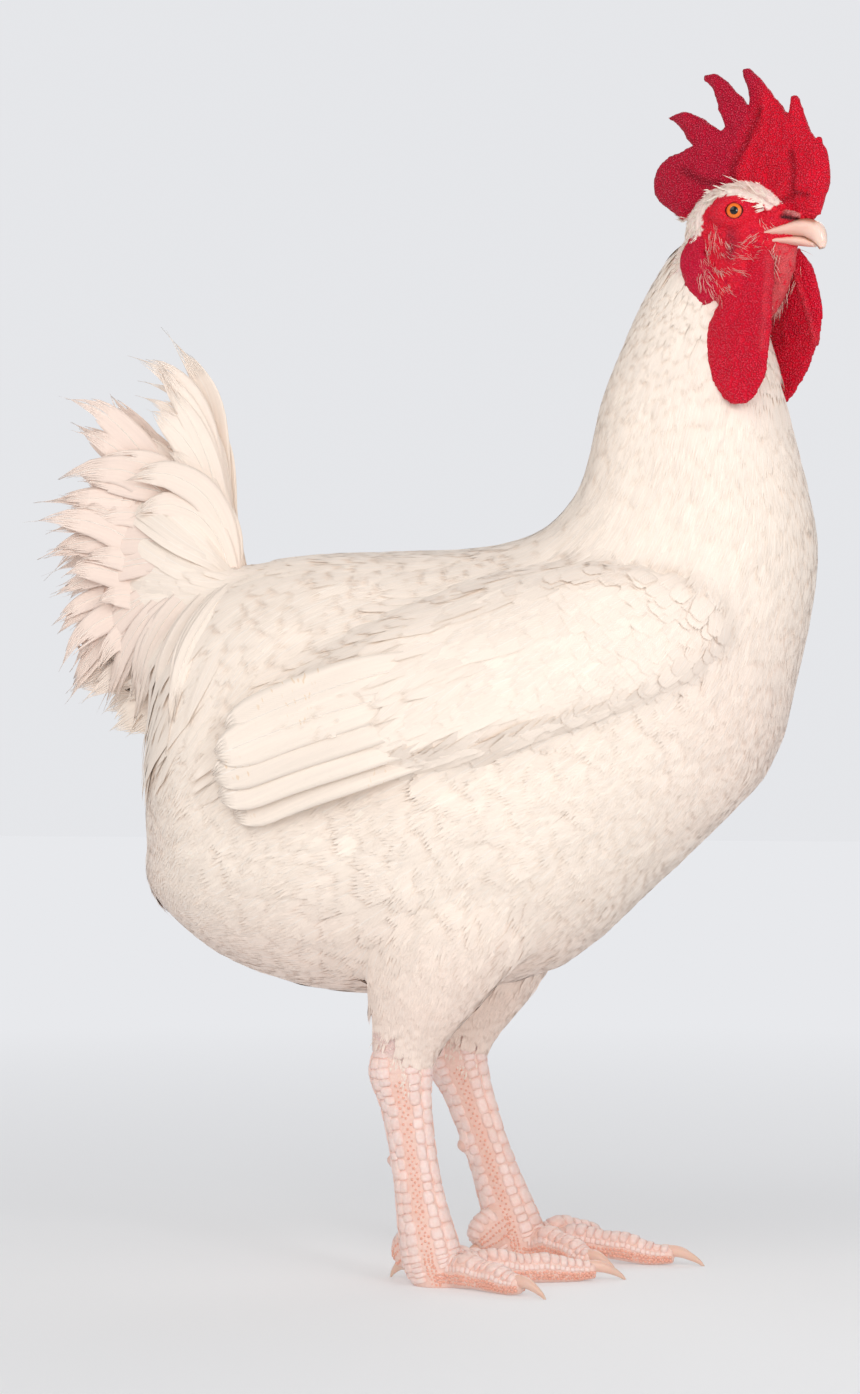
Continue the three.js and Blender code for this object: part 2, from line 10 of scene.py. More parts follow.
import bpy
import numpy as np
from mathutils import Matrix, Vector, noise
from mathutils.bvhtree import BVHTree


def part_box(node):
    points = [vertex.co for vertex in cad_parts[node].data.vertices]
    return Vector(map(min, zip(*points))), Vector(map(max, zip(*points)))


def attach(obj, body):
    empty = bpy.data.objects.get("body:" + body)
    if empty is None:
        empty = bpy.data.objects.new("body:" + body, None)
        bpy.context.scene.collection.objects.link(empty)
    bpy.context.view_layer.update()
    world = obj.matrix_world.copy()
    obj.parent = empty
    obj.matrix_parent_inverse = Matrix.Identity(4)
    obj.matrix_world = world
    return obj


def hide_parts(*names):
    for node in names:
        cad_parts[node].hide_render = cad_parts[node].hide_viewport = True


bl_info = {
    "name": "White Rooster",
    "version": (1, 0, 0),
    "blender": (4, 5, 0),
    "location": "View3D > Sidebar > Rooster",
    "description": "Builds the skin, plumage, head and feet of a standing white rooster",
    "category": "Object",
}

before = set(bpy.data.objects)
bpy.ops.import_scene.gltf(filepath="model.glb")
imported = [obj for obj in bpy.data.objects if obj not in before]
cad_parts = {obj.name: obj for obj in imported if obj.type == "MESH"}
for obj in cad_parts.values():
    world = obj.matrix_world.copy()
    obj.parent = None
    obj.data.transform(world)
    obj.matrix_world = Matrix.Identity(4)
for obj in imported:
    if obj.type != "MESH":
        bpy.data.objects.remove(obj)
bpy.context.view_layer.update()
MM = 0.001
SEED = 20

# ---------- where the frame lies ----------
HEAD_AT = np.array([162.0, -4.0, 539.5])  # centre of the skull
HEAD_TURN = math.radians(-29)
EYE_CENTRE = np.array([6.5, 15.2, 5.2])  # from the skull's centre, left eye
EYE_RADIUS = 7.2


def middle(node):
    low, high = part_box(node)
    return np.array((low + high) / 2) / MM


HEAD_AXES = np.array(Matrix.Rotation(HEAD_TURN, 3, "Z"))
EYES_MIDDLE = (middle("eye_left") + middle("eye_right")) / 2
SHIFT = EYES_MIDDLE - HEAD_AXES @ (EYE_CENTRE * (1, 0, 1)) - HEAD_AT


def from_head(points):
    return np.asarray(points, float) @ HEAD_AXES.T + HEAD_AT


def to_head(points):
    return (np.asarray(points, float) - HEAD_AT) @ HEAD_AXES


# ---------- sizes of the bird ----------
RIBS = np.array([
    # back x, back z, belly x, belly z, half width
    [-151, 258, -156, 234, 14],
    [-146, 298, -151, 206, 45],
    [-127, 342, -134, 183, 69],
    [-96, 367, -106, 161, 82],
    [-58, 374, -66, 147, 88],
    [-20, 375, -20, 143, 90],
    [18, 376, 30, 147, 90],
    [44, 380, 74, 161, 87],
    [62, 387, 110, 193, 82],
    [74, 399, 150, 231, 76],
    [80, 409, 179, 263, 69],
    [83, 420, 191, 306, 63],
    [86, 434, 200, 348, 56],
    [89, 449, 202, 378, 48],
    [94, 465, 197, 405, 40],
    [100, 481, 190, 433, 33.5],
    [105, 496, 185, 457, 28],
    [113, 512, 178, 482, 23.5],
    [124, 528, 170, 506, 19],
    [136, 538, 161, 527, 15],
], float)
NECK_TWIST = dict(pivot=(150, 0), start=425, end=540)
TAIL_BASE = [
    # top x, z, bottom x, z, half width
    [-94, 364, -102, 298, 34],
    [-108, 388, -124, 282, 35],
    [-122, 401, -142, 286, 32],
    [-136, 405, -156, 296, 26],
    [-149, 403, -167, 308, 19],
    [-160, 390, -175, 330, 9],
]
COATED = ("trunk", "rump", "neck", "head", "thigh_left", "thigh_right", "wing_left", "wing_right",
          "shank_left", "shank_right")
SKINNED = COATED + ("comb", "wattle_left", "wattle_right", "ear_lobe_left", "ear_lobe_right") + tuple(
    f"toe_{toe}_{word}" for toe in ("inner", "middle", "outer", "back") for word in ("left", "right"))
LEG_SPREAD = 46  # from the middle plane to each shank

# ---------- colours ----------
CREAM = (0.945, 0.82, 0.71)
BLUSH = np.array([0.91, 0.735, 0.64])
CRIMSON = np.array([0.66, 0.001, 0.042])
SCARLET = (0.97, 0.001, 0.033)
FACE_RED = np.array([0.9, 0.01, 0.036])
PURPLE_RED = np.array([0.6, 0.004, 0.035])
THROAT_PINK = np.array([0.84, 0.13, 0.13])
FOLD_PAINTED_HIGHLIGHT = np.array([0.95, 0.1, 0.12])
CHEEK_DARK = np.array([0.12, 0.02, 0.04])
NOSTRIL_PALE = np.array([0.85, 0.5, 0.42])
NOSTRIL_PAINTED_SHADE = np.array([0.03, 0.01, 0.01])
LEG_PINK = np.array([0.87, 0.46, 0.35])
LEG_PALE = np.array([0.9, 0.68, 0.6])
SCALE_PALE = (0.93, 0.73, 0.67)
IRIS_ORANGE = (1.0, 0.22, 0.012)
IRIS_EDGE = np.array([0.85, 0.08, 0.01])
IRIS_RIM = [0.05, 0.015, 0.01]
PUPIL_BLACK = [0.004, 0.004, 0.005]
BALL_BACK = [0.3, 0.1, 0.08]
HORN_PINK = np.array([0.86, 0.55, 0.46])
HORN_PALE = np.array([0.9, 0.68, 0.58])
HORN_BROWN = np.array([0.3, 0.13, 0.05])
CLAW_ROOT = np.array([0.86, 0.58, 0.48])
CLAW_TIP = np.array([0.74, 0.52, 0.4])


# ---------- number tools ----------
def unit(v):
    return v / np.maximum(np.linalg.norm(v, axis=-1, keepdims=True), 1e-9)


def dots(a, b):
    return (a * b).sum(-1, keepdims=True)


def smoothstep(x, low, high):
    t = np.clip((x - low) / (high - low), 0, 1)
    return t * t * (3 - 2 * t)


def blend(low, high, at):
    return low + (high - low) * at


def smooth_rows(rows, t):
    """The rows of a table read along a smooth curve, with t from 0 to 1."""
    rows = np.asarray(rows, float)
    padded = np.vstack([2 * rows[0] - rows[1], rows, 2 * rows[-1] - rows[-2]])
    place = np.clip(np.atleast_1d(t), 0, 1) * (len(rows) - 1)
    i = np.minimum(place.astype(int), len(rows) - 2)
    f = (place - i)[:, None]
    p0, p1, p2, p3 = (padded[i + k] for k in range(4))
    bend = (2 * p0 - 5 * p1 + 4 * p2 - p3) * f**2 + (3 * p1 - p0 - 3 * p2 + p3) * f**3
    return 0.5 * (2 * p1 + (p2 - p0) * f + bend)


def oval(around, power):
    angle = 2 * math.pi * np.arange(around) / around
    bend = lambda v: np.sign(v) * np.abs(v) ** (2 / power)  # noqa: E731
    return bend(np.cos(angle)), bend(np.sin(angle))


def outward(points, faces):
    """The closed form with every face turned to look outwards."""
    volume = 0
    for group in faces:
        for k in range(1, group.shape[1] - 1):
            volume += (points[group[:, 0]] * np.cross(points[group[:, k]], points[group[:, k + 1]])).sum()
    return points, faces if volume > 0 else [group[:, ::-1] for group in faces]


def closed_loft(rings):
    """Points and faces of a tube through the rings, (count, around, 3), with a fan over each end."""
    count, around, _ = rings.shape
    points = np.vstack([rings.reshape(-1, 3), rings[0].mean(0), rings[-1].mean(0)])
    i, j = np.meshgrid(np.arange(count - 1), np.arange(around), indexing="ij")
    a, b = (i * around + j).ravel(), (i * around + (j + 1) % around).ravel()
    quads = np.stack([a, b, b + around, a + around], 1)
    j = np.arange(around)
    first, last = j, (count - 1) * around + j
    caps = [
        np.stack([np.full(around, count * around), np.roll(first, -1), first], 1),
        np.stack([np.full(around, count * around + 1), last, np.roll(last, -1)], 1),
    ]
    return outward(points, [quads, np.vstack(caps)])


def rib_loft(rows, rings, around, power=2.2, low=0.12, side=None, grow=0.0):
    """Ribs across the body: back x, z, belly x, z and half width, bulging along Y."""
    t = np.linspace(0, 1, rings + 1)
    back_x, back_z, belly_x, belly_z, half = smooth_rows(rows, t).T
    zero = np.zeros_like(t)
    back, belly = np.stack([back_x, zero, back_z], 1), np.stack([belly_x, zero, belly_z], 1)
    centre, up = (back + belly) / 2, (back - belly) / 2
    tall = np.linalg.norm(up, axis=1)[:, None, None]
    high, wide = oval(around, power)
    droop = -low * tall[..., 0] * np.abs(wide) * (1 - np.abs(high))
    grow = np.broadcast_to(grow, t.shape)[:, None]
    points = centre[:, None] + unit(up)[:, None] * (((tall[..., 0] + grow) * high + droop)[..., None])
    points[..., 1] = (half[:, None] + grow) * wide + (side(points) if side else 0)
    return closed_loft(points)


def path_frame(rows, t, flat):
    """A path's rows at t, then the way it runs there, its side and its upward direction."""
    step = 1e-3
    ahead, behind = smooth_rows(rows, np.minimum(t + step, 1)), smooth_rows(rows, np.maximum(t - step, 0))
    along = unit(ahead[:, :3] - behind[:, :3])
    side = unit(np.cross(np.asarray(flat, float), along))
    return smooth_rows(rows, t), along, side, np.cross(along, side)


def sweep(rows, rings, around, flat=(0, 0, 1), power=2.0):
    """A tube along a path: x, y, z, half width, half height; the height is measured along flat."""
    data, _, side, up = path_frame(rows, np.linspace(0, 1, rings + 1), flat)
    wide, high = oval(around, power)
    points = (data[:, None, :3] + side[:, None] * (data[:, 3:4] * wide)[..., None]
              + up[:, None] * (data[:, 4:5] * high)[..., None])
    return closed_loft(points)


def mirrored(rows):
    return [[x, -y, *rest] for x, y, *rest in rows]


def joined(parts):
    points, faces, start = [], [], 0
    for part_points, part_faces in parts:
        points.append(part_points)
        faces.extend(group + start for group in part_faces)
        start += len(part_points)
    return np.vstack(points), faces


# ---------- mesh tools ----------
def mesh_of(name, points, faces):
    """A mesh from arrays: points in the part's millimetres, faces as arrays of rows of 3 or 4."""
    mesh = bpy.data.meshes.new(name)
    mesh.vertices.add(len(points))
    mesh.vertices.foreach_set("co", ((points + SHIFT) * MM).astype(np.float32).ravel())
    corners = np.concatenate([group.ravel() for group in faces]).astype(np.int32)
    sizes = np.concatenate([np.full(len(group), group.shape[1]) for group in faces])
    mesh.loops.add(len(corners))
    mesh.loops.foreach_set("vertex_index", corners)
    mesh.polygons.add(len(sizes))
    mesh.polygons.foreach_set("loop_start", np.concatenate([[0], np.cumsum(sizes)[:-1]]).astype(np.int32))
    mesh.update(calc_edges=True)
    mesh.validate()
    mesh.shade_smooth()
    return mesh


def new_object(name, mesh, *materials):
    piece = bpy.data.objects.new(name, mesh)
    bpy.context.scene.collection.objects.link(piece)
    for material in materials:
        mesh.materials.append(material)
    return piece


def drop(*pieces):
    for piece in pieces:
        mesh = piece.data
        bpy.data.objects.remove(piece)
        bpy.data.meshes.remove(mesh)


def baked(piece):
    """The piece's mesh with its modifiers applied, in place of its own."""
    bpy.context.view_layer.update()
    seen = piece.evaluated_get(bpy.context.evaluated_depsgraph_get())
    mesh = bpy.data.meshes.new_from_object(seen)
    old, name = piece.data, piece.data.name
    piece.modifiers.clear()
    piece.data = mesh
    bpy.data.meshes.remove(old)
    mesh.name = name
    return piece


def arrays_of(mesh):
    points = np.empty(len(mesh.vertices) * 3, np.float32)
    mesh.vertices.foreach_get("co", points)
    corners = np.empty(len(mesh.loops), np.int32)
    mesh.loops.foreach_get("vertex_index", corners)
    sizes = np.empty(len(mesh.polygons), np.int32)
    mesh.polygons.foreach_get("loop_total", sizes)
    starts = np.concatenate([[0], np.cumsum(sizes)[:-1]])
    faces = [corners[starts[sizes == n][:, None] + np.arange(n)] for n in (4, 3) if (sizes == n).any()]
    return points.reshape(-1, 3).astype(float) / MM - SHIFT, faces


def remeshed(parts, voxel):
    """One closed skin round all the parts."""
    piece = new_object("_union", mesh_of("_union", *joined(parts)))
    change = piece.modifiers.new("union", "REMESH")
    change.mode, change.voxel_size = "VOXEL", voxel * MM
    arrays = arrays_of(baked(piece).data)
    drop(piece)
    return arrays


def edges_of(faces):
    pairs = np.vstack([np.stack([group, np.roll(group, -1, 1)], 2).reshape(-1, 2) for group in faces])
    return np.unique(np.sort(pairs, 1), axis=0)


RELAX_IN, RELAX_BACK = 0.5, -0.48


def relaxed(points, faces, rounds):
    """Points moved towards their neighbours' mean, then partly back, so that forms keep their size."""
    a, b = edges_of(faces).T
    count = np.maximum(np.bincount(np.concatenate([a, b]), minlength=len(points)), 1)[:, None]
    for amount in (RELAX_IN, RELAX_BACK) * rounds:
        total = np.stack([
            np.bincount(a, points[b, k], len(points)) + np.bincount(b, points[a, k], len(points))
            for k in range(3)], 1)
        points = points + amount * (total / count - points)
    return points


def vertex_normals(points, faces):
    normals = np.zeros_like(points)
    for group in faces:
        p = points[group]
        face = np.cross(p[:, 2] - p[:, 0], p[:, -1] - p[:, 1])
        for k in range(group.shape[1]):
            for axis in range(3):
                normals[:, axis] += np.bincount(group[:, k], face[:, axis], len(points))
    return unit(normals)


class Surface:
    """A closed surface that can be asked for its nearest point and smooth normal."""

    def __init__(self, points, faces):
        self.points, self.faces = points, faces
        self.normals = vertex_normals(points, faces)
        order = [row for group in faces for row in group.tolist()]
        self.tree = BVHTree.FromPolygons(points.tolist(), order)
        self.face_normals = unit(np.vstack([self.normals[group].mean(1) for group in faces]))
        self.centres = np.vstack([points[group].mean(1) for group in faces])

    def nearest(self, queries):
        find = self.tree.find_nearest
        hits = [find(q) for q in queries.tolist()]
        places = np.array([hit[0][:] for hit in hits])
        return places, self.face_normals[[hit[2] for hit in hits]]

    def distance(self, queries):
        find = self.tree.find_nearest
        return np.array([find(q)[3] for q in queries.tolist()])


def set_attribute(mesh, name, kind, domain, values):
    layer = mesh.attributes.new(name, kind, domain)
    field = {"FLOAT": "value", "FLOAT_VECTOR": "vector", "FLOAT_COLOR": "color"}[kind]
    layer.data.foreach_set(field, np.asarray(values, np.float32).ravel())


def tint(mesh, colours):
    colours = np.asarray(colours, float)
    full = np.ones((len(mesh.vertices), 4))
    full[:, :3] = colours
    set_attribute(mesh, "tint", "FLOAT_COLOR", "POINT", full)


def uv_from_points(mesh, name, uv):
    corners = np.empty(len(mesh.loops), np.int32)
    mesh.loops.foreach_get("vertex_index", corners)
    layer = mesh.uv_layers.new(name=name)
    layer.data.foreach_set("uv", uv[corners].astype(np.float32).ravel())


def finish_piece(piece, slot, *nodes):
    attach(piece, "root")
    if nodes:
        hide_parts(*nodes)
    return piece


def chosen(name):
    """The value that the panel holds."""
    return getattr(bpy.context.scene.rooster, name)


# ---------- shader tools ----------
def add(tree, kind, settings=None, **inputs):
    """A node with its settings and inputs; an input named i0, i1... is taken by its place."""
    made = tree.nodes.new(kind)
    for key, value in (settings or {}).items():
        setattr(made, key, value)
    for key, value in inputs.items():
        by_place = key[0] == "i" and key[1:].isdigit()
        socket = made.inputs[int(key[1:]) if by_place else key.replace("_", " ")]
        if isinstance(value, bpy.types.NodeSocket):
            tree.links.new(value, socket)
        else:
            socket.default_value = value
    return made


def maths(tree, operation, *values):
    named = {f"i{i}": value for i, value in enumerate(values)}
    return add(tree, "ShaderNodeMath", {"operation": operation}, **named).outputs[0]


def times(tree, a, b):
    return maths(tree, "MULTIPLY", a, b)


def plus(tree, a, b):
    return maths(tree, "ADD", a, b)


def mixed(tree, factor, a, b, blend_type="MIX"):
    made = add(tree, "ShaderNodeMix", {"data_type": "RGBA", "blend_type": blend_type}, i0=factor, i6=a, i7=b)
    return made.outputs[2]


def stain_and_shade(tree, factor, shade, r, g, b):
    """The colour, multiplied by another as far as the factor says: random stains, and painted shade in
    hollows.
    """
    return mixed(tree, factor, shade, mixed(tree, 1.0, shade, rgb(r, g, b), "MULTIPLY"))


def remap(tree, value, low, high, to_low=0.0, to_high=1.0):
    named = {"Value": value, "From_Min": low, "From_Max": high, "To_Min": to_low, "To_Max": to_high}
    return add(tree, "ShaderNodeMapRange", None, **named).outputs[0]


def rgb(r, g, b):
    return (r, g, b, 1.0)


def object_place(tree):
    return add(tree, "ShaderNodeTexCoord").outputs["Object"]


def tint_of(tree):
    """The colour that the mesh holds for each place."""
    return add(tree, "ShaderNodeAttribute", {"attribute_name": "tint"}).outputs["Color"]


def noise_value(tree, place, scale, detail):
    return add(tree, "ShaderNodeTexNoise", None, Vector=place, Scale=scale, Detail=detail).outputs["Fac"]


def shader_group(name, inputs, outputs):
    """A node group with its sockets, its input node's outputs and its output node's inputs."""
    tree = bpy.data.node_groups.new(name, "ShaderNodeTree")
    for label, value in inputs:
        tree.interface.new_socket(label, in_out="INPUT", socket_type="NodeSocketFloat").default_value = value
    for label in outputs:
        tree.interface.new_socket(label, in_out="OUTPUT", socket_type="NodeSocketFloat")
    return tree, tree.nodes.new("NodeGroupInput").outputs, tree.nodes.new("NodeGroupOutput").inputs


def barbs_group():
    """Fine barbs that leave a feather's shaft, and the shaft itself."""
    tree, given, result = shader_group("feather_barbs", [("Barbs", 6.0), ("Fan", 9.0), ("Shaft", 0.05)],
                                       ["Height", "Shaft Mask", "Streak"])
    place = add(tree, "ShaderNodeUVMap", {"uv_map": "vane"}).outputs[0]
    split = add(tree, "ShaderNodeSeparateXYZ", None, Vector=place).outputs
    off = maths(tree, "ABSOLUTE", maths(tree, "SUBTRACT", split[0], 0.5))
    rows = maths(tree, "SUBTRACT", times(tree, split[1], given["Barbs"]), times(tree, off, given["Fan"]))
    wave = maths(tree, "SINE", times(tree, rows, 2 * math.pi))
    shaft = remap(tree, off, given["Shaft"], 0.0)
    stretched = add(tree, "ShaderNodeVectorMath", {"operation": "MULTIPLY"}, i0=place, i1=(11.0, 1.3, 1.0))
    drift = add(tree, "ShaderNodeVectorMath", {"operation": "MULTIPLY_ADD"}, i0=object_place(tree),
                i1=(31.0, 31.0, 31.0), i2=stretched.outputs[0]).outputs[0]
    streak = noise_value(tree, drift, 1.0, 2.0)
    height = plus(tree, plus(tree, times(tree, wave, 0.3), times(tree, shaft, 1.2)), streak)
    tree.links.new(height, result["Height"])
    tree.links.new(shaft, result["Shaft Mask"])
    tree.links.new(remap(tree, streak, 0.3, 0.7), result["Streak"])
    return tree


def granules_group():
    """Small rounded grains, as on bare red skin, and a mask of their tops for a painted highlight."""
    tree, given, result = shader_group("skin_granules", [("Grain", 900.0)], ["Height", "Tops", "Mottle"])
    place = object_place(tree)
    stir = add(tree, "ShaderNodeTexNoise", None, Vector=place, Scale=220.0, Detail=2.0).outputs["Color"]
    moved = add(tree, "ShaderNodeMix", {"data_type": "VECTOR"}, i0=0.0012, i4=place, i5=stir).outputs[1]
    cells = add(tree, "ShaderNodeTexVoronoi", {"feature": "F1"}, Vector=moved, Scale=given["Grain"])
    tops = remap(tree, cells.outputs["Distance"], 0.7, 0.15)
    broad = add(tree, "ShaderNodeTexNoise", None, Vector=place, Scale=90.0, Detail=4.0, Roughness=0.6)
    tree.links.new(tops, result["Height"])
    # the grains' tops, where the skin is painted lighter as a highlight
    tree.links.new(maths(tree, "POWER", tops, 2.0), result["Tops"])
    tree.links.new(broad.outputs["Fac"], result["Mottle"])
    return tree


def mottle_group():
    """Soft uneven colour: a broad value and a fine one."""
    tree, given, result = shader_group("soft_mottle", [("Broad Scale", 18.0), ("Fine Scale", 160.0)],
                                       ["Broad", "Fine"])
    place = object_place(tree)
    for label in ("Broad", "Fine"):
        tree.links.new(noise_value(tree, place, given[label + " Scale"], 3.0), result[label])
    return tree


def group_node(tree, name, **inputs):
    makers = {"feather_barbs": barbs_group, "skin_granules": granules_group, "soft_mottle": mottle_group}
    group = bpy.data.node_groups.get(name) or makers[name]()
    return add(tree, "ShaderNodeGroup", {"node_tree": group}, **inputs).outputs


def mottle(tree, broad, fine):
    return group_node(tree, "soft_mottle", Broad_Scale=broad, Fine_Scale=fine)


def new_material(name, **constants):
    """A material with its Principled shader's own constants set; returns it, its tree and its shader."""
    material = bpy.data.materials.new(name)
    material.use_nodes = True
    tree = material.node_tree
    shader = tree.nodes["Principled BSDF"]
    for key, value in constants.items():
        shader.inputs[key.replace("_", " ")].default_value = value
    return material, tree, shader


def colour_and_bump(tree, shader, shade, height, strength, distance):
    tree.links.new(shade, shader.inputs["Base Color"])
    bump = add(tree, "ShaderNodeBump", None, Height=height, Strength=strength, Distance=distance)
    tree.links.new(bump.outputs[0], shader.inputs["Normal"])


def material_of(name):
    """The finish of that name, made when it is first asked for."""
    return bpy.data.materials.get(name) or FINISHES[name]()


# ---------- finishes ----------
def plumage_finish(name="white_plumage", barbs=11.0, fan=8.0):
    """Feathers: each one's tint, with streaks, fine barbs and a paler shaft."""
    material, tree, shader = new_material(name, Roughness=0.7, Sheen_Weight=0.15, Sheen_Roughness=0.5,
                                          Specular_IOR_Level=0.25)
    vane = group_node(tree, "feather_barbs", Barbs=barbs, Fan=fan, Shaft=0.03)
    soft = mottle(tree, 22.0, 420.0)
    uneven = plus(tree, times(tree, soft["Broad"], 0.05), times(tree, soft["Fine"], 0.03))
    value = plus(tree, times(tree, vane["Streak"], 0.06), plus(tree, 0.93, uneven))
    grey = add(tree, "ShaderNodeCombineColor", None, Red=value, Green=value, Blue=value).outputs[0]
    shade = mixed(tree, 1.0, tint_of(tree), grey, "MULTIPLY")
    shade = mixed(tree, times(tree, vane["Shaft Mask"], 0.35), shade, rgb(1.0, 0.97, 0.93))
    colour_and_bump(tree, shader, shade, vane["Height"], 0.35, 0.00012)
    return material


def flight_finish():
    """Long vanes: finer barbs and thin golden lines across the vane, in scattered patches."""
    material = plumage_finish("flight_plumage", barbs=60.0, fan=20.0)
    tree = material.node_tree
    base = tree.nodes["Principled BSDF"].inputs["Base Color"]
    before = base.links[0].from_socket
    vane = add(tree, "ShaderNodeUVMap", {"uv_map": "vane"}).outputs[0]
    across = add(tree, "ShaderNodeMapping", None, Vector=vane, Scale=(5.0, 70.0, 1.0)).outputs[0]
    thin = remap(tree, noise_value(tree, across, 1.0, 0.0), 0.66, 0.74, 0.0, 0.45)
    patch = remap(tree, noise_value(tree, object_place(tree), 45.0, 0.0), 0.6, 0.66)
    tree.links.new(mixed(tree, times(tree, thin, patch), before, rgb(0.8, 0.55, 0.3)), base)
    return material


def skin_finish():
    """Bare skin: the tint of each place, with random blotches, painted shade in the hollows between granules
    and a painted highlight on their tops.
    """
    material, tree, shader = new_material("bare_skin", Roughness=0.42, Specular_IOR_Level=0.2,
                                          Subsurface_Weight=0.05, Subsurface_Scale=0.0015)
    shader.inputs["Subsurface Radius"].default_value = (1.0, 0.25, 0.15)
    rough = add(tree, "ShaderNodeAttribute", {"attribute_name": "grain"}).outputs["Fac"]
    grains = group_node(tree, "skin_granules", Grain=930.0)
    blotch = times(tree, remap(tree, grains["Mottle"], 0.35, 0.7), 0.45)
    # painted shade: darker where the granules sink, in the hollows between them
    painted_valley_shade = times(tree, maths(tree, "SUBTRACT", 1.0, grains["Height"]), times(tree, rough, 0.7))
    shade = stain_and_shade(tree, blotch, tint_of(tree), 0.78, 0.5, 0.6)
    shade = stain_and_shade(tree, painted_valley_shade, shade, 0.66, 0.3, 0.45)
    # painted highlight: a lighter red on the granules' tops
    shade = mixed(tree, times(tree, grains["Tops"], times(tree, rough, 0.45)), shade, rgb(1.0, 0.14, 0.2))
    colour_and_bump(tree, shader, shade, times(tree, grains["Height"], rough), 1.0, 0.001)
    return material


def leg_finish():
    """Scaled skin: soft blotches, and painted shade in the small pits between the plates' grains."""
    material, tree, shader = new_material("scaly_legs", Roughness=0.4, Specular_IOR_Level=0.5,
                                          Subsurface_Weight=0.04, Subsurface_Scale=0.001)
    soft = mottle(tree, 120.0, 900.0)
    cells = add(tree, "ShaderNodeTexVoronoi", {"feature": "F1"}, Vector=object_place(tree), Scale=520.0)
    pits = cells.outputs["Distance"]
    shade = stain_and_shade(tree, remap(tree, soft["Broad"], 0.45, 0.7, 0.0, 0.5), tint_of(tree), 0.98, 0.87, 0.82)
    # painted shade: darker at the cells' edges, where the bump sinks into pits
    shade = stain_and_shade(tree, remap(tree, pits, 0.4, 0.7, 0.0, 0.2), shade, 0.92, 0.72, 0.64)
    height = plus(tree, times(tree, pits, -1.0), times(tree, soft["Fine"], 0.3))
    colour_and_bump(tree, shader, shade, height, 0.6, 0.0004)
    return material


def horn_finish():
    """Beak and claws: smooth horn with faint upright fibres."""
    material, tree, shader = new_material("beak_horn", Roughness=0.32, Coat_Weight=0.25, Coat_Roughness=0.25,
                                          Subsurface_Weight=0.15, Subsurface_Scale=0.002)
    soft = mottle(tree, 150.0, 700.0)
    place = object_place(tree)
    drawn = add(tree, "ShaderNodeMapping", None, Vector=place, Scale=(0.15, 0.15, 1.0)).outputs[0]
    shade = stain_and_shade(tree, times(tree, soft["Broad"], 0.5), tint_of(tree), 0.94, 0.8, 0.72)
    colour_and_bump(tree, shader, shade, noise_value(tree, drawn, 900.0, 3.0), 0.25, 0.0003)
    return material


def eye_finish():
    """A glossy ball: dark pupil, orange iris with fine spokes, dark rim."""
    material, tree, shader = new_material("eye_gloss", Roughness=0.04, Specular_IOR_Level=0.5)
    soft = mottle(tree, 600.0, 2600.0)
    shade = stain_and_shade(tree, times(tree, soft["Fine"], 0.4), tint_of(tree), 0.8, 0.6, 0.5)
    colour_and_bump(tree, shader, shade, soft["Fine"], 0.05, 0.0001)
    return material


def bristle_finish():
    material, tree, shader = new_material("pale_bristle", Roughness=0.5, Sheen_Weight=0.2)
    soft = mottle(tree, 60.0, 600.0)
    shade = mixed(tree, soft["Broad"], rgb(0.86, 0.42, 0.35), rgb(0.93, 0.7, 0.6))
    colour_and_bump(tree, shader, shade, soft["Fine"], 0.2, 0.0001)
    return material


def quill_finish():
    material, tree, shader = new_material("quill_horn", Roughness=0.3, Coat_Weight=0.2)
    soft = mottle(tree, 40.0, 900.0)
    shade = mixed(tree, soft["Broad"], rgb(0.92, 0.8, 0.7), rgb(0.96, 0.86, 0.77))
    colour_and_bump(tree, shader, shade, soft["Fine"], 0.1, 0.0001)
    return material


def floor_finish():
    """A pale floor that fades into the backdrop's own tone away from the bird."""
    material, tree, shader = new_material("studio_floor", Roughness=0.8, Specular_IOR_Level=0.1,
                                          Emission_Strength=1.0)
    soft = mottle(tree, 1.5, 300.0)
    far = add(tree, "ShaderNodeVectorMath", {"operation": "LENGTH"}, i0=object_place(tree)).outputs["Value"]
    gone = remap(tree, far, 0.2, 1.5, 0.3)
    pale = mixed(tree, soft["Broad"], rgb(0.92, 0.92, 0.92), rgb(0.95, 0.95, 0.95))
    glow = mixed(tree, gone, rgb(0, 0, 0), rgb(0.787, 0.795, 0.82))
    tree.links.new(glow, shader.inputs["Emission Color"])
    colour_and_bump(tree, shader, mixed(tree, gone, pale, rgb(0, 0, 0)), soft["Fine"], 0.03, 0.0004)
    return material


FINISHES = {
    "white_plumage": plumage_finish, "flight_plumage": flight_finish, "bare_skin": skin_finish,
    "scaly_legs": leg_finish, "beak_horn": horn_finish, "eye_gloss": eye_finish,
    "pale_bristle": bristle_finish, "quill_horn": quill_finish, "studio_floor": floor_finish,
}

# ---------- the coat's surface and the lie of the feathers ----------
MADE = {}  # the bare skins of head and legs, once they are made
VOXEL = dict(coat=4.2, head=1.14, body=5.9, legs=1.5)  # how finely each shell is made
WING_TOP = [(125, 358), (90, 366), (50, 361), (15, 348), (-15, 333), (-40, 318)]  # x, z where wing meets back


@cache
def coat_surface():
    """The outer surface on which the feathers lie, round the solids that carry them."""
    parts = [(solid.points, solid.faces) for solid in node_surfaces().values()]
    parts.append(rib_loft(TAIL_BASE, 16, 20, low=0))
    trunk = node_surfaces()["trunk"].tree.ray_cast
    for side in (1, -1):
        line = []
        for x, z in WING_TOP:
            y = abs(trunk([x, side * 200, z - 8], [0, -side, 0])[0][1])
            line.append([x, side * (y - 1), z - 11, 9, 12])
        parts.append(sweep(line, 20, 16))
    points, faces = remeshed(parts, VOXEL["coat"])
    x, _, z = points.T
    points[:, 0] += 8 * smoothstep(x, -100, -150) * smoothstep(z, 196, 225) * smoothstep(z, 322, 296)
    return Surface(relaxed(points, faces, 4), faces)


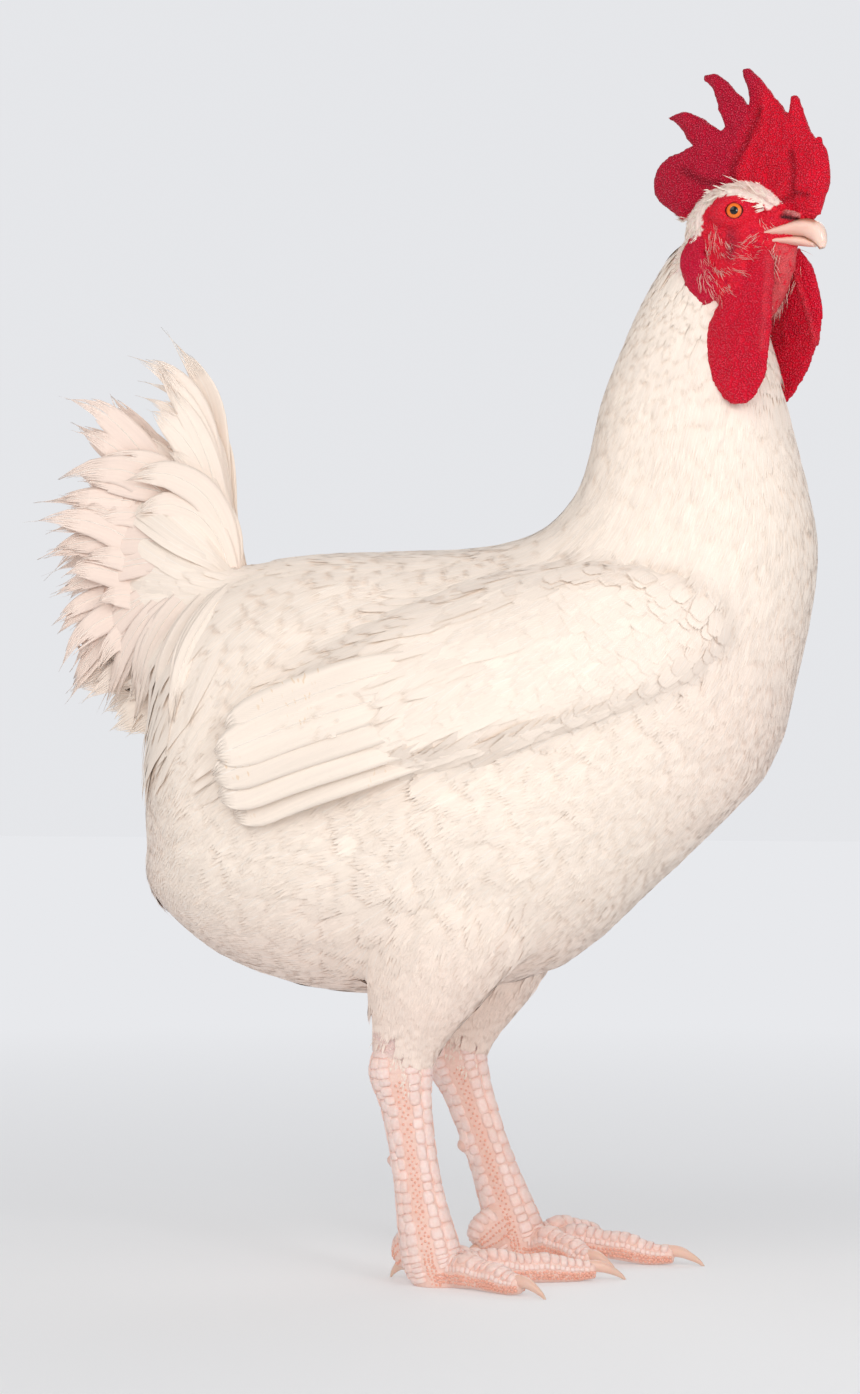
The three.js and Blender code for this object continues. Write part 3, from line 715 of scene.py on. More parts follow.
@cache
def node_surfaces():
    return {name: Surface(*arrays_of(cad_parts[name].data)) for name in COATED}


def nearest_node(points):
    """The name of the solid that each point lies nearest to, as a number into COATED."""
    return np.argmin([node_surfaces()[name].distance(points) for name in COATED], axis=0)


def coat_depth(points):
    """How deep the skin lies under the coat's surface."""
    z = points[:, 2]
    body = 4.2 - 2.0 * smoothstep(z, 440, 530)
    leg = 1.2 + 3.0 * smoothstep(z, 118, 175)
    return np.minimum(body, leg)


LIE = np.array([
    # x, distance from the middle plane, z, then the way the feathers lie
    [140, 10, 535, -0.6, 0.1, -0.8],
    [115, 12, 510, -0.45, 0.05, -0.9],
    [150, 22, 505, -0.25, 0.05, -1.0],
    [178, 5, 490, -0.1, 0.1, -1.0],
    [92, 5, 455, -0.25, 0.1, -0.95],
    [140, 40, 440, -0.15, 0.1, -1.0],
    [195, 5, 410, 0.05, 0.1, -1.0],
    [85, 10, 415, -0.6, 0.25, -0.75],
    [130, 55, 385, -0.35, 0.1, -0.95],
    [60, 20, 385, -0.92, 0.2, -0.35],
    [195, 10, 320, -0.15, 0.0, -1.0],
    [160, 60, 330, -0.5, 0.0, -0.85],
    [165, 45, 260, -0.55, 0.0, -0.8],
    [145, 5, 228, -0.8, 0.0, -0.6],
    [80, 5, 165, -0.95, 0.0, -0.25],
    [70, 60, 190, -0.7, 0.0, -0.6],
    [-20, 5, 143, -1.0, 0.0, 0.0],
    [-90, 5, 160, -0.95, 0.0, 0.05],
    [-150, 5, 225, -0.6, 0.0, -0.75],
    [-140, 40, 240, -0.6, 0.0, -0.8],
    [0, 10, 376, -1.0, 0.05, -0.05],
    [-60, 10, 374, -1.0, 0.1, -0.1],
    [0, 60, 362, -0.9, 0.1, -0.45],
    [-60, 60, 350, -0.75, 0.1, -0.7],
    [-90, 70, 320, -0.5, 0.0, -0.88],
    [-120, 60, 300, -0.6, 0.0, -0.8],
    [-135, 35, 320, -0.85, 0.1, -0.5],
    [-110, 10, 368, -0.9, 0.05, 0.3],
    [-120, 20, 392, -0.45, 0.0, 0.9],
    [-150, 12, 385, -0.75, 0.0, 0.65],
    [-160, 10, 340, -1.0, 0.0, 0.1],
    [-150, 20, 300, -0.9, 0.0, -0.4],
    [150, 75, 335, -0.65, 0.0, -0.75],
    [100, 90, 345, -0.7, 0.0, -0.7],
    [60, 95, 320, -0.85, 0.0, -0.52],
    [0, 95, 310, -0.88, 0.0, -0.48],
    [-45, 92, 290, -0.9, 0.0, -0.43],
    [120, 70, 290, -0.8, 0.0, -0.6],
    [60, 88, 240, -0.88, 0.0, -0.47],
    [-20, 90, 220, -0.92, 0.0, -0.38],
    [-100, 80, 230, -0.8, 0.0, -0.6],
    [30, 80, 190, -0.6, 0.0, -0.8],
    [15, 60, 160, -0.35, 0.0, -0.93],
    [0, 50, 125, -0.15, 0.0, -1.0],
], float)


def lie_of(points):
    """The direction in which the coat lies at each point."""
    side = np.where(points[:, 1] < 0, -1.0, 1.0)
    folded = points * [1, 1, 1]
    folded[:, 1] = np.abs(points[:, 1])
    result = np.zeros_like(points)
    total = np.zeros((len(points), 1))
    for row in LIE:
        weight = 1 / (((folded - row[:3]) ** 2).sum(1, keepdims=True) + 60) ** 2
        result += weight * row[3:]
        total += weight
    result /= total
    result[:, 1] *= side
    return unit(result)


def crown_lie(points):
    """Small feathers of the head run back over the brow and down behind the face."""
    h = to_head(points)
    x, y, z = h.T
    back = np.stack([np.full(len(x), -1.0), 0.15 * np.sign(y), 0.35 * smoothstep(x, -8, 14) - 0.25
                     - 1.3 * smoothstep(x, -4, -18) * smoothstep(z, 12, -6)], 1)
    return unit(back @ HEAD_AXES.T)


def march(surface, roots, length, steps, rng, wander, stiff, lie):
    """Spines that leave their roots along the lie, bend with the surface and glide over its ledges."""
    here, normal = surface.nearest(roots)
    side_step = rng.normal(0, wander, (len(roots), 1))
    spine, normals, heading = [here], [normal], None
    for _ in range(steps):
        want = lie(here)
        want = unit(want - normal * dots(want, normal))
        want = unit(want + np.cross(normal, want) * side_step)
        heading = want if heading is None else unit(0.45 * heading + 0.55 * want)
        heading = unit(heading - normal * dots(heading, normal) * 0.8)
        step = (length / steps)[:, None]
        ahead = here + heading * step
        place, found = surface.nearest(ahead)
        above = np.linalg.norm(ahead - place, axis=1, keepdims=True)
        agree = smoothstep(dots(found, normal), 0.35, 0.8)
        here = np.where(above > stiff * step, ahead - normal * stiff * step * 0.5, place)
        normal = unit(normal * (1.02 - 0.5 * agree) + found * agree)
        spine.append(here)
        normals.append(normal)
    return np.stack(spine, 1), np.stack(normals, 1)


# ---------- feathers ----------
def vane_pattern(columns, rows, split, teeth_rows):
    """A feather's layout: whole rows up to the split, then each column as a strand of its own.

    Gives each point's place along (0 to 1), its column, its strand (-1 in the whole part) and how far it
    is up its strand, then the faces.
    """
    along, across, strand, climb = [], [], [], []
    for r in range(rows + 1):
        for c in range(columns + 1):
            along.append(split * r / rows)
            across.append(2 * c / columns - 1)
            strand.append(-1)
            climb.append(0.0)
    wide = columns + 1
    quads = [[r * wide + c, r * wide + c + 1, (r + 1) * wide + c + 1, (r + 1) * wide + c]
             for r in range(rows) for c in range(columns)]
    tris = []
    for c in range(columns):
        left, right = rows * wide + c, rows * wide + c + 1
        centre = 2 * (c + 0.5) / columns - 1
        for k in range(1, teeth_rows):
            up = k / teeth_rows
            half = min(1.0, (2 - 2 * up) ** 0.6) / columns
            for edge in (-1, 1):
                along.append(split + (1 - split) * up)
                across.append(centre + edge * half)
                strand.append(c)
                climb.append(up)
            new = len(along) - 2
            quads.append([left, right, new + 1, new])
            left, right = new, new + 1
        along.append(1.0)
        across.append(centre)
        strand.append(c)
        climb.append(1.0)
        tris.append([left, right, len(along) - 1])
    return tuple(np.array(a) for a in (along, across, strand, climb, quads, tris))


def feather_batch(spine, normals, half, rng, columns=4, rows=3, split=0.6, teeth_rows=2, arch=0.3, spread=0.0,
                  ragged=0.12, base=0.35, round_tip=0.0, taper=0.0, rounded=0.0):
    """All feathers of one kind in one mesh: points, faces, normals, vane map, each point's feather, tone."""
    count, steps, _ = spine.shape
    along, across, strand, climb, quads, tris = vane_pattern(columns, rows, split, teeth_rows)
    s = np.broadcast_to(along, (count, len(along))).copy()
    c = np.broadcast_to(across, (count, len(along))).copy()
    reach = rng.normal(0, ragged, (count, columns))
    lean = rng.normal(0, 0.3 * spread, (count, columns))
    own = strand >= 0
    s[:, own] += reach[:, strand[own]] * climb[own] * (1 - split)
    edge = (2 * (np.arange(columns) + 0.5) / columns - 1)
    s[:, own] -= round_tip * (edge[strand[own]] ** 2) * climb[own] * (1 - split)
    c[:, own] += (lean[:, strand[own]] + edge[strand[own]] * spread) * climb[own]
    place = np.clip(s, 0, 0.9999) * (steps - 1)
    i = place.astype(int)
    after = np.minimum(i + 1, steps - 1)
    f = (place - i)[..., None]
    take = lambda data, at: np.take_along_axis(data, at[..., None].repeat(3, 2), 1)  # noqa: E731
    a, b = take(spine, i), take(spine, after)
    tangent = unit(b - a)
    up = take(normals, i) * (1 - f) + take(normals, after) * f
    up = unit(up - tangent * dots(up, tangent))
    step = np.linalg.norm(b - a, axis=-1, keepdims=True)
    centre = a + (b - a) * f + tangent * np.maximum(s - 1, 0)[..., None] * step * (steps - 1)
    side = unit(np.cross(up, tangent))
    width = half[:, None] * (base + (1 - base) * np.sin(np.clip(s / 0.55, 0, 1) * math.pi / 2))
    width = width * (1 - taper * np.clip((s - 0.45) / 0.55, 0, 1.1) ** 2)
    if rounded:
        width = width * np.sqrt(1 - np.clip((s - 1 + rounded) / rounded, 0, 0.97) ** 2)
    bow = arch * width * c**2
    points = centre + side * (c * width)[..., None] - up * bow[..., None]
    shading = unit(up + side * (c * arch * 0.8)[..., None])
    total = len(along)
    offset = (np.arange(count) * total)[:, None, None]
    faces = [(offset + quads).reshape(-1, 4)[:, ::-1], (offset + tris).reshape(-1, 3)[:, ::-1]]
    vane = np.stack([c * 0.5 + 0.5, s], -1).reshape(-1, 2)
    owner = np.repeat(np.arange(count), total)
    tone = np.ones((count, total))
    tone[:, own] += rng.normal(0, 0.02, (count, columns))[:, strand[own]]
    return points.reshape(-1, 3), faces, shading.reshape(-1, 3), vane, owner, tone.reshape(-1, 1)


BODY_LINE = np.array([
    [-165, 0, 300], [-100, 0, 262], [-20, 0, 258], [60, 0, 270], [115, 0, 320], [140, 0, 400],
    [145, 0, 470], [150, 0, 530], [160, 0, 580],
], float)
LEG_STRIP = 150  # the height under which the skin's map shows the legs
TUFT_PATCH = 0.003  # the width of one feather's patch on the skin's map
PIECE_LIMIT = 200000  # triangles


def skin_map(points):
    """Each point's place on the unrolled skin: along the body's line and round it; legs have a strip."""
    start, end = BODY_LINE[:-1], BODY_LINE[1:]
    run = end - start
    t = np.clip(((points[:, None] - start) * run).sum(-1) / (run**2).sum(-1), 0, 1)
    near = start + t[..., None] * run
    best = np.argmin(((points[:, None] - near) ** 2).sum(-1), 1)
    rows = np.arange(len(points))
    v = (best + t[rows, best]) / len(run)
    off = points - near[rows, best]
    along = unit(run[best])
    up = np.cross(along, [0, 1, 0])
    u = np.arctan2(off[:, 1], (off * up).sum(1)) / (2 * math.pi) + 0.5
    uv = np.stack([u * 0.98 + 0.01, 0.2 + 0.78 * v], 1)
    leg = points[:, 2] < LEG_STRIP
    side = np.where(points[:, 1] < 0, 0.0, 0.5)
    off = points[:, 1] - np.sign(points[:, 1]) * LEG_SPREAD
    round_leg = np.arctan2(off, points[:, 0]) / (2 * math.pi) + 0.5
    high = np.clip(points[:, 2] / LEG_STRIP, 0, 1)
    uv[leg] = np.stack([side + 0.02 + 0.46 * round_leg, 0.02 + 0.15 * high], 1)[leg]
    return uv


def coat_piece(name, batches):
    """One coat piece from batches of feathers; each batch also gives its roots and colours."""
    stacked = {key: np.vstack([b[key] for b in batches]) for key in ("points", "vane", "colours", "normals")}
    faces, start, uv = [], 0, []
    for b in batches:
        faces += [group + start for group in b["faces"]]
        start += len(b["points"])
        uv.append(skin_map(b["roots"])[b["owner"]] + (b["vane"] - 0.5) * TUFT_PATCH)
    quads, tris = (np.vstack([group for group in faces if group.shape[1] == n]) for n in (4, 3))
    triangles = len(quads) * 2 + len(tris)
    print(f"{name}: {triangles} triangles")
    if triangles >= PIECE_LIMIT:
        raise ValueError(f"{name} has {triangles} triangles")
    mesh = mesh_of(name, stacked["points"], [quads, tris])
    uv_from_points(mesh, "OFBake", np.vstack(uv))
    uv_from_points(mesh, "vane", stacked["vane"])
    tint(mesh, stacked["colours"])
    mesh.normals_split_custom_set_from_vertices(stacked["normals"])
    return finish_piece(new_object(name, mesh, material_of("white_plumage")), "plumage")


def coat_tone(points):
    """Warm white, with a pink cast low on the breast, the vent, the thighs and the tail."""
    x, _, z = points.T
    breast = 0.55 * smoothstep(x, 120, 195) * smoothstep(z, 420, 300)
    tail = 0.95 * smoothstep(x, -105, -160) * smoothstep(z, 300, 340)
    vent = 0.5 * smoothstep(x, -95, -150) * smoothstep(z, 300, 240)
    pink = breast + tail + 0.7 * smoothstep(z, 230, 150) + vent
    return blend(np.array(chosen("plumage_colour")), BLUSH, np.clip(pink, 0, 1)[:, None])


def coat_colour(points, rng, uneven):
    """The coat's tone with each feather a little lighter or darker."""
    return np.clip(coat_tone(points) * (1 + rng.normal(0, uneven, (len(points), 1))), 0, 1)


def grow_coat(roots, kind, rng, lie=lie_of, surface=None):
    """Feathers of one kind at the given roots."""
    if not len(roots):
        raise ValueError(f"no roots for {kind}")
    style = {**USUAL, **STYLES[kind]}
    length = style["length"](roots) * (1 + rng.normal(0, 0.1, len(roots)))
    half = style["half"](roots) * (1 + rng.normal(0, 0.1, len(roots)))
    spine, normals = march(surface or coat_surface(), roots, length, style["steps"], rng, style["wander"],
                           style["stiff"], lie)
    depth = np.minimum(style["depth"], coat_depth(roots) * 0.8)[:, None, None]
    lift = (style["lift"] * (1 + style["unruly"] * rng.normal(0, 1, len(roots))))[:, None, None]
    t = np.linspace(0, 1, spine.shape[1])[None, :, None]
    spine = spine + normals * (-depth * (1 - t) ** style["sink"] + lift * t**2 - 0.3)
    shape = {key: style[key] for key in VANE_KEYS if key in style}
    points, faces, shading, vane, owner, tone = feather_batch(spine, normals, half, rng, **shape)
    colours = np.clip(coat_colour(roots, rng, style["uneven"])[owner] * tone, 0, 1)
    return dict(points=points, faces=faces, normals=shading, vane=vane, owner=owner, roots=roots,
                colours=colours)


def same(value):
    return lambda p: np.full(len(p), float(value))


def along_x(at_low, at_high, low, high):
    return lambda p: blend(at_low, at_high, smoothstep(p[:, 0], low, high))


def along_z(at_low, at_high, low, high):
    return lambda p: blend(at_low, at_high, smoothstep(p[:, 2], low, high))


VANE_KEYS = ("columns", "rows", "split", "arch", "spread", "ragged", "base", "round_tip", "taper")
USUAL = dict(steps=5, wander=0.08, stiff=0.35, depth=7.0, lift=0.4, unruly=0.3, sink=2.6, uneven=0.02)
STYLES = {
    # lengths and half widths follow the place of the root
    "crown": dict(length=same(7.5), half=same(0.8), columns=2, rows=1, split=0.4, spread=0.3, arch=0.1,
                  lift=0.7, steps=3, depth=0.8, wander=0.25, unruly=0.4),
    "wisp": dict(length=same(12), half=same(0.45), columns=1, rows=3, split=0.7, spread=0.1, arch=0.1,
                 lift=4.0, steps=4, depth=0.6, wander=0.35, unruly=0.5, ragged=0.2),
    "hackle": dict(length=along_z(46, 13, 430, 535), half=along_z(4.4, 1.5, 430, 535), columns=5, rows=3,
                   split=0.71, spread=0.04, arch=0.12, lift=0.16, wander=0.05, base=0.7, ragged=0.15,
                   taper=0.4),
    "breast": dict(length=same(27), half=same(6.4), columns=8, rows=3, split=0.67, arch=0.13, lift=0.15,
                   wander=0.1, ragged=0.2, round_tip=0.4),
    "back": dict(length=same(40), half=same(5.8), columns=7, rows=4, split=0.7, arch=0.12, lift=0.12,
                 ragged=0.2, taper=0.3),
    "scapular": dict(length=same(54), half=same(6.8), columns=7, rows=5, split=0.82, arch=0.12, lift=0.6,
                     ragged=0.15, taper=0.4, stiff=0.15, steps=7),
    "saddle": dict(length=along_x(66, 46, -95, -20), half=same(4.6), columns=3, rows=6, split=0.93, arch=0.2,
                   lift=0.3, wander=0.06, steps=8, base=0.75, ragged=0.03, taper=0.75, stiff=0.2),
    "hanging": dict(length=same(84), half=same(4.6), columns=4, rows=8, split=0.9, arch=0.15, wander=0.1,
                    steps=10, base=0.8, ragged=0.03, taper=0.85, unruly=0.5, stiff=0.12, sink=3.0),
    "covert": dict(length=along_x(46, 20, 30, 130), half=along_x(8.4, 5.2, 30, 130), columns=8, rows=4,
                   split=0.9, arch=0.1, lift=0.1, wander=0.09, ragged=0.12, round_tip=0.8, taper=0.35,
                   stiff=0.12, sink=3.0),
    "drape": dict(length=same(58), half=same(5.2), columns=5, rows=6, split=0.86, arch=0.1, lift=1.5,
                  wander=0.12, ragged=0.08, taper=0.8, stiff=0.1, steps=8, depth=4.0, sink=2.0, uneven=0.015),
    "fluff": dict(length=same(32), half=same(7.0), columns=8, rows=3, split=0.67, arch=0.1, lift=0.15,
                  wander=0.12, ragged=0.22, stiff=0.3, round_tip=0.3),
    "vent": dict(length=same(27), half=same(5.4), columns=7, rows=2, split=0.62, spread=0.08, arch=0.1,
                 lift=0.3, wander=0.2, ragged=0.2, stiff=0.25, unruly=0.4),
    "thigh": dict(length=along_z(12, 27, 115, 190), half=along_z(1.9, 5.6, 115, 190), columns=6, rows=2,
                  split=0.68, spread=0.04, arch=0.12, lift=0.2, wander=0.13, ragged=0.2),
    "down": dict(length=same(13), half=same(0.7), columns=1, rows=3, split=0.6, spread=0.1, arch=0.1,
                 wander=0.2, ragged=0.2, depth=0.5, unruly=0.5, steps=4),
    "tail": dict(length=same(56), half=same(8), columns=5, rows=6, split=0.88, spread=0.02, arch=0.14,
                 lift=0.9, wander=0.14, ragged=0.06, taper=0.65, unruly=0.6, sink=2.2, stiff=0.15, steps=8),
}
CROWN_EDGE = np.array([
    # the near edge of the head's small white feathers: x, z
    [-17, -24], [-14, -14], [-10.5, -9], [-10, 2.5], [-11, 5], [-6, 10.5], [1, 13.3], [12, 13.4], [20, 10.5],
    [27, 5.5],
], float)


def behind_crown_edge(h):
    """Which points of the head lie behind or above the edge of its small feathers."""
    x, z = h[:, 0], h[:, 2]
    low = CROWN_EDGE[:5]
    behind = (x < np.interp(z, low[:, 1], low[:, 0])) & (z < 8)
    high = CROWN_EDGE[4:]
    above = (z >= 6) & (z > np.interp(x, high[:, 0], high[:, 1], left=6, right=99))
    return behind | above


@cache
def regions():
    """The coat's roots sorted by kind: every face of the coat's surface may start one feather."""
    roots = coat_surface().centres
    name = np.array(COATED)[nearest_node(roots)]
    x, y, z = roots.T
    h = to_head(roots)
    head = (name == "head") | ((z > 518) & (h[:, 0] > -30))
    throat = (name == "neck") & (z > 468) & (h[:, 0] > 8) & (np.abs(h[:, 1]) < 18)
    wing = np.char.startswith(name, "wing")
    quilled = wing & (x < 26 - (z - 278) * 0.62)
    legs = np.char.startswith(name, "thigh") | np.char.startswith(name, "shank")
    hock = hock_x(y)
    thigh = legs & (z > 134 - 1.25 * (x - hock) + 4 * np.sin(x * 0.9 + y))
    sole = legs & ~thigh
    neck = (name == "neck") & ~head
    tail = (x < -104) & (z > 372 + (x + 104) * 0.9) & ~wing
    body = ~(head | neck | wing | thigh | tail | sole)
    front = body & (x > 95)
    top = body & ~front & (z > 335 + 0.15 * x) & (x > -20)
    saddle = body & ~front & (x <= -20) & (z > 290 + 0.25 * (x + 120))
    vent = body & (x < -95) & ~saddle
    fluff = body & ~(front | top | saddle | vent)
    scapular = body & (x > -62) & (x < 95) & (z > 318) & (np.abs(y) > 34)
    hanging = saddle & (x < -58) & (z > 316)
    drape = wing & (x < 50) & (z > 300 + 0.32 * x)
    return dict(hanging=hanging, scapular=scapular, drape=drape, hackle=neck & ~throat, throat=throat,
                covert=wing & ~quilled, thigh=thigh, tail=tail, breast=front, back=top, saddle=saddle,
                fluff=fluff, vent=vent)


def hock_x(y):
    """Where the hock of the leg on that side stands."""
    return np.where(y < 0, LEGS[0]["hock"][0], LEGS[1]["hock"][0])


def head_roots(rng, spacing, low_x=-99, low_z=-99):
    """Roots on the head's own skin where its small feathers grow."""
    skin = MADE["head_skin"]
    h = to_head(skin.centres)
    use = np.flatnonzero((h[:, 0] > low_x) & (h[:, 2] > low_z) & (skin.hairy > 0.5))
    return skin.centres[rng.permutation(use)[:int(len(use) / spacing**2)]]


def roots_of(kind, keep, rng):
    """The roots of one kind, thinned out or filled up to the share that is kept."""
    roots = coat_surface().centres[regions()[kind]]
    if keep < 1:
        roots = roots[rng.random(len(roots)) < keep]
    elif keep > 1:
        extra = roots[rng.random(len(roots)) < keep - 1]
        roots = np.vstack([roots, extra + rng.normal(0, 1.5, extra.shape)])
    return roots + rng.normal(0, 0.8, roots.shape)


# ---------- the skin ----------
HEAD_RIBS = [
    [-28, 2, -27, -12, 9],
    [-23, 12, -21, -22, 15],
    [-13, 19, -12, -27, 18],
    [0, 22, -1, -28, 19],
    [12, 20, 10, -27, 16.5],
    [21, 15, 17, -24, 12],
    [28, 9, 23, -19, 8],
    [33, 4.5, 28, -16, 6],
    [37, 1, 33, -13, 4],
]
CHEEK = [
    # the bare skin between ear lobe and wattle: x, y, z, half width, half thickness; left side
    [2, 14, -12, 13, 4],
    [3, 17, -22, 13, 3.6],
    [5, 19, -32, 10, 3],
    [6, 20, -41, 5, 1.8],
]
BROW = [
    [-8, 12.4, 12, 3, 2.2],
    [5, 13.6, 14, 5, 3],
    [18, 10.8, 10, 4.4, 2.6],
    [28, 7, 4, 2.4, 1.8],
]
MUZZLE = [
    # the red skin that overhangs the beak's root: x, y, z, half width, half thickness
    [20, 0, 1, 12, 5],
    [28, 0, 0.6, 9.8, 4.6],
    [34, 0, 1, 8.2, 3.6],
    [38.5, 0, 1.2, 6, 1.8],
]
COMB_RIBS = [
    # top x, z, bottom x, z, half thickness
    [-51, 29, -49.5, 20, 1.4],
    [-44.5, 36, -42, 11, 2.6],
    [-31, 41, -31, 5, 3.2],
    [-18, 47, -20, 9, 3.6],
    [-6, 52, -6, 17, 4],
    [10, 59, 8, 16, 4.4],
    [26, 56, 18, 9, 5],
    [37, 48, 29, 4, 5.2],
    [44, 42, 40, 0, 4.8],
    [51.5, 36, 48, 3, 3.4],
    [54.5, 24, 52, 14, 1.6],
]
COMB_POINTS = [
    # rows run from root to tip: x, z, half width
    [[-15, 41, 9.5], [-25, 51, 6], [-33, 57, 3.4], [-42.5, 59, 1.1]],
    [[1, 49, 10], [-5, 61, 7], [-11, 71, 4.4], [-15.5, 76, 2.8], [-20.5, 77.5, 1.0]],
    [[18, 49, 10.5], [12, 61, 7.6], [8, 70, 5], [4.5, 76.5, 2.8], [2, 80, 1.0]],
    [[33, 43, 8.5], [33.5, 52, 5], [32.5, 59, 2.6], [32, 63, 0.9]],
    [[44, 33, 4.4], [47, 37.5, 3], [49, 41, 1]],
]
COMB_THICKNESS = 2.9
WATTLES = {
    # x, y, z, half width along the head, half thickness
    "right": [
        [21, -10, -13, 5, 2.4],
        [18.5, -14, -26, 11, 3],
        [17, -20, -42, 16, 2.6],
        [16.5, -25, -59, 19.5, 2.6],
        [19, -28, -76, 17, 2.4],
        [20.5, -29.5, -88, 11.5, 1.8],
        [21, -30, -93, 5, 1],
    ],
    "left": [
        [23, 10, -13, 6, 2.4],
        [24, 14, -27, 13, 3],
        [21.5, 19, -43, 17, 2.6],
        [14, 24, -59, 16, 2.6],
        [8, 27, -74, 12.5, 2.4],
        [3.5, 28.5, -86, 7, 1.8],
        [2.5, 29, -90, 3, 1],
    ],
}
EAR_LOBE = [
    [-15, 18, -7, 4, 1.8],
    [-15, 21, -18, 7.5, 2.6],
    [-9, 22.5, -30, 7.5, 2.6],
    [-3, 22.5, -40, 4, 1.6],
]
THROAT = [
    # the hairy bare skin between the wattles: x, y, z, half width, half thickness
    [26, 0, -12, 8, 7],
    [23, 0, -24, 8, 8],
    [18, 0, -38, 6, 7],
    [13, 0, -48, 4, 4],
]


def comb_wave(x):
    return 2.6 * np.sin((x + 10) / 15) + 0.03 * x


def comb_parts():
    blade = rib_loft(COMB_RIBS, 60, 28, power=2.4, low=0, side=lambda p: comb_wave(p[..., 0]))
    points = []
    for rows in COMB_POINTS:
        path = [[x, comb_wave(x), z, half, min(COMB_THICKNESS, 0.8 + half * 0.42)] for x, z, half in rows]
        points.append(sweep(path, 20, 16, flat=(0, 1, 0)))
    return [blade, *points]


EYE_AIM = math.radians(30)  # how far forwards each eye looks from straight out to its side
BALL_CENTRE = np.array([7.2, 15.0, 5.2])


def eye_axes(side):
    """The eye's own axes in the head's frame: forwards across it, up, and out along its aim."""
    out = np.array([math.sin(EYE_AIM), side * math.cos(EYE_AIM), 0.0])
    up = np.array([0.0, 0.0, 1.0])
    return np.stack([np.cross(up, out) * -side, up, out])


def eye_centre(side):
    return BALL_CENTRE * [1, side, 1]


LID = [
    # distance from the eye's aim, height over the ball's centre
    [4.1, 5.95], [4.3, 6.5], [5.0, 6.75], [6.0, 6.2], [6.9, 5.5], [7.6, 5.5], [8.6, 4.4], [10.5, 1.5],
    [11.5, -2.0],
]


def lid_ring(side):
    """The eye's two lids as one low mound with an opening."""
    around = 64
    profile = smooth_rows(LID, np.linspace(0, 1, 26))
    profile = np.vstack([profile, [[6.0, -3.0], [4.2, 1.0]]])
    angle = 2 * math.pi * np.arange(around) / around
    axes = eye_axes(side)
    wide = 1 + 0.1 * np.abs(np.cos(angle)) ** 3
    tall = 0.93
    rings = []
    for r, h in profile:
        flat = np.stack([r * wide * np.cos(angle), r * tall * np.sin(angle), np.full(around, h)], 1)
        rings.append(eye_centre(side) + flat @ axes)
    rings = np.array(rings + rings[:1])
    count = len(profile)
    points = rings[:-1].reshape(-1, 3)
    i, j = np.meshgrid(np.arange(count), np.arange(around), indexing="ij")
    a, b = i * around + j, i * around + (j + 1) % around
    c, d = ((i + 1) % count) * around + (j + 1) % around, ((i + 1) % count) * around + j
    quads = np.stack([a, b, c, d], -1).reshape(-1, 4)
    return outward(points, [quads])


def turned_with_head(points):
    angle = HEAD_TURN * smoothstep(points[:, 2], NECK_TWIST["start"], NECK_TWIST["end"])
    px, py = NECK_TWIST["pivot"]
    x, y = points[:, 0] - px, points[:, 1] - py
    c, s = np.cos(angle), np.sin(angle)
    return np.stack([px + x * c - y * s, py + x * s + y * c, points[:, 2]], 1)


def neck_stub():
    """The top of the neck as far as bare skin may show."""
    points, faces = rib_loft(RIBS[15:], 40, 48, grow=-2.2 - 6 * smoothstep(np.arange(41), 12, 0))
    return turned_with_head(points), faces


def head_shell():
    """The bare head in one closed skin, and how far each point lies from each form."""
    thin = dict(flat=(0, 1, 0))
    forms = {
        "skull": [rib_loft(HEAD_RIBS, 40, 40, power=2.1, low=0.05), sweep(BROW, 20, 16),
                  sweep(mirrored(BROW), 20, 16), sweep(MUZZLE, 20, 20), sweep(CHEEK, 20, 20, **thin),
                  sweep(mirrored(CHEEK), 20, 20, **thin)],
        "comb": comb_parts(),
        "wattle": [sweep(rows, 44, 28, **thin) for rows in WATTLES.values()],
        "lobe": [sweep(EAR_LOBE, 24, 20, **thin), sweep(mirrored(EAR_LOBE), 24, 20, **thin)],
        "lid": [lid_ring(1), lid_ring(-1)],
        "throat": [sweep(THROAT, 20, 20, **thin)],
        "neck": [(to_head(neck_stub()[0]), neck_stub()[1])],
    }
    parts = [(from_head(points), faces) for form in forms.values() for points, faces in form]
    points, faces = remeshed(parts, VOXEL["head"])
    points = relaxed(points, faces, 3)
    away = {}
    for name, form in forms.items():
        form_points, form_faces = joined(form)
        away[name] = Surface(from_head(form_points), form_faces).distance(points)
    return points, faces, away


def ridged(h, seed, scale, stretch=(1, 1, 1)):
    """Wrinkles: a folded noise of the place."""
    at = h / scale * np.array(stretch)
    value = np.array([noise.noise(Vector(p) + Vector((seed, 0, 0))) for p in at.tolist()])
    return 1 - np.abs(value) * 2.5


COMB_CREASES = [
    # x, z along the crease, then its width and depth
    ([[11.4, 57.7], [3.9, 41], [-2.8, 30.4], [-2.9, 21.6]], 2.2, 1.5),
    ([[33.5, 34], [34.9, 22.1], [34, 12]], 2.0, 1.5),
    ([[20, 12], [27, 10], [36, 14], [44, 12]], 1.6, 1.0),
    ([[-30, 30], [-20, 24], [-10, 22]], 2.5, 0.5),
]
WATTLE_FOLD = [[25, -15], [28.5, -32], [31.5, -50], [33, -66]]
NOSTRIL = [[31.5, 2.0], [35, 0.9], [38.2, -0.4]]
CHEEK_MARK = [[6.8, -6], [7.6, -17]]


def from_line(x, z, line):
    """The distance in side view from a bent line."""
    line = np.array(line, float)
    start, run = line[:-1], np.diff(line, axis=0)
    at = np.stack([x, z], -1)[:, None]
    t = np.clip(((at - start) * run).sum(-1) / (run**2).sum(-1), 0, 1)
    return np.sqrt(((at - start - t[..., None] * run) ** 2).sum(-1)).min(1)


def near_line(x, z, line, width):
    """One on the line, falling softly to nothing at about twice the width from it."""
    return np.exp(-(from_line(x, z, line) / width) ** 2)


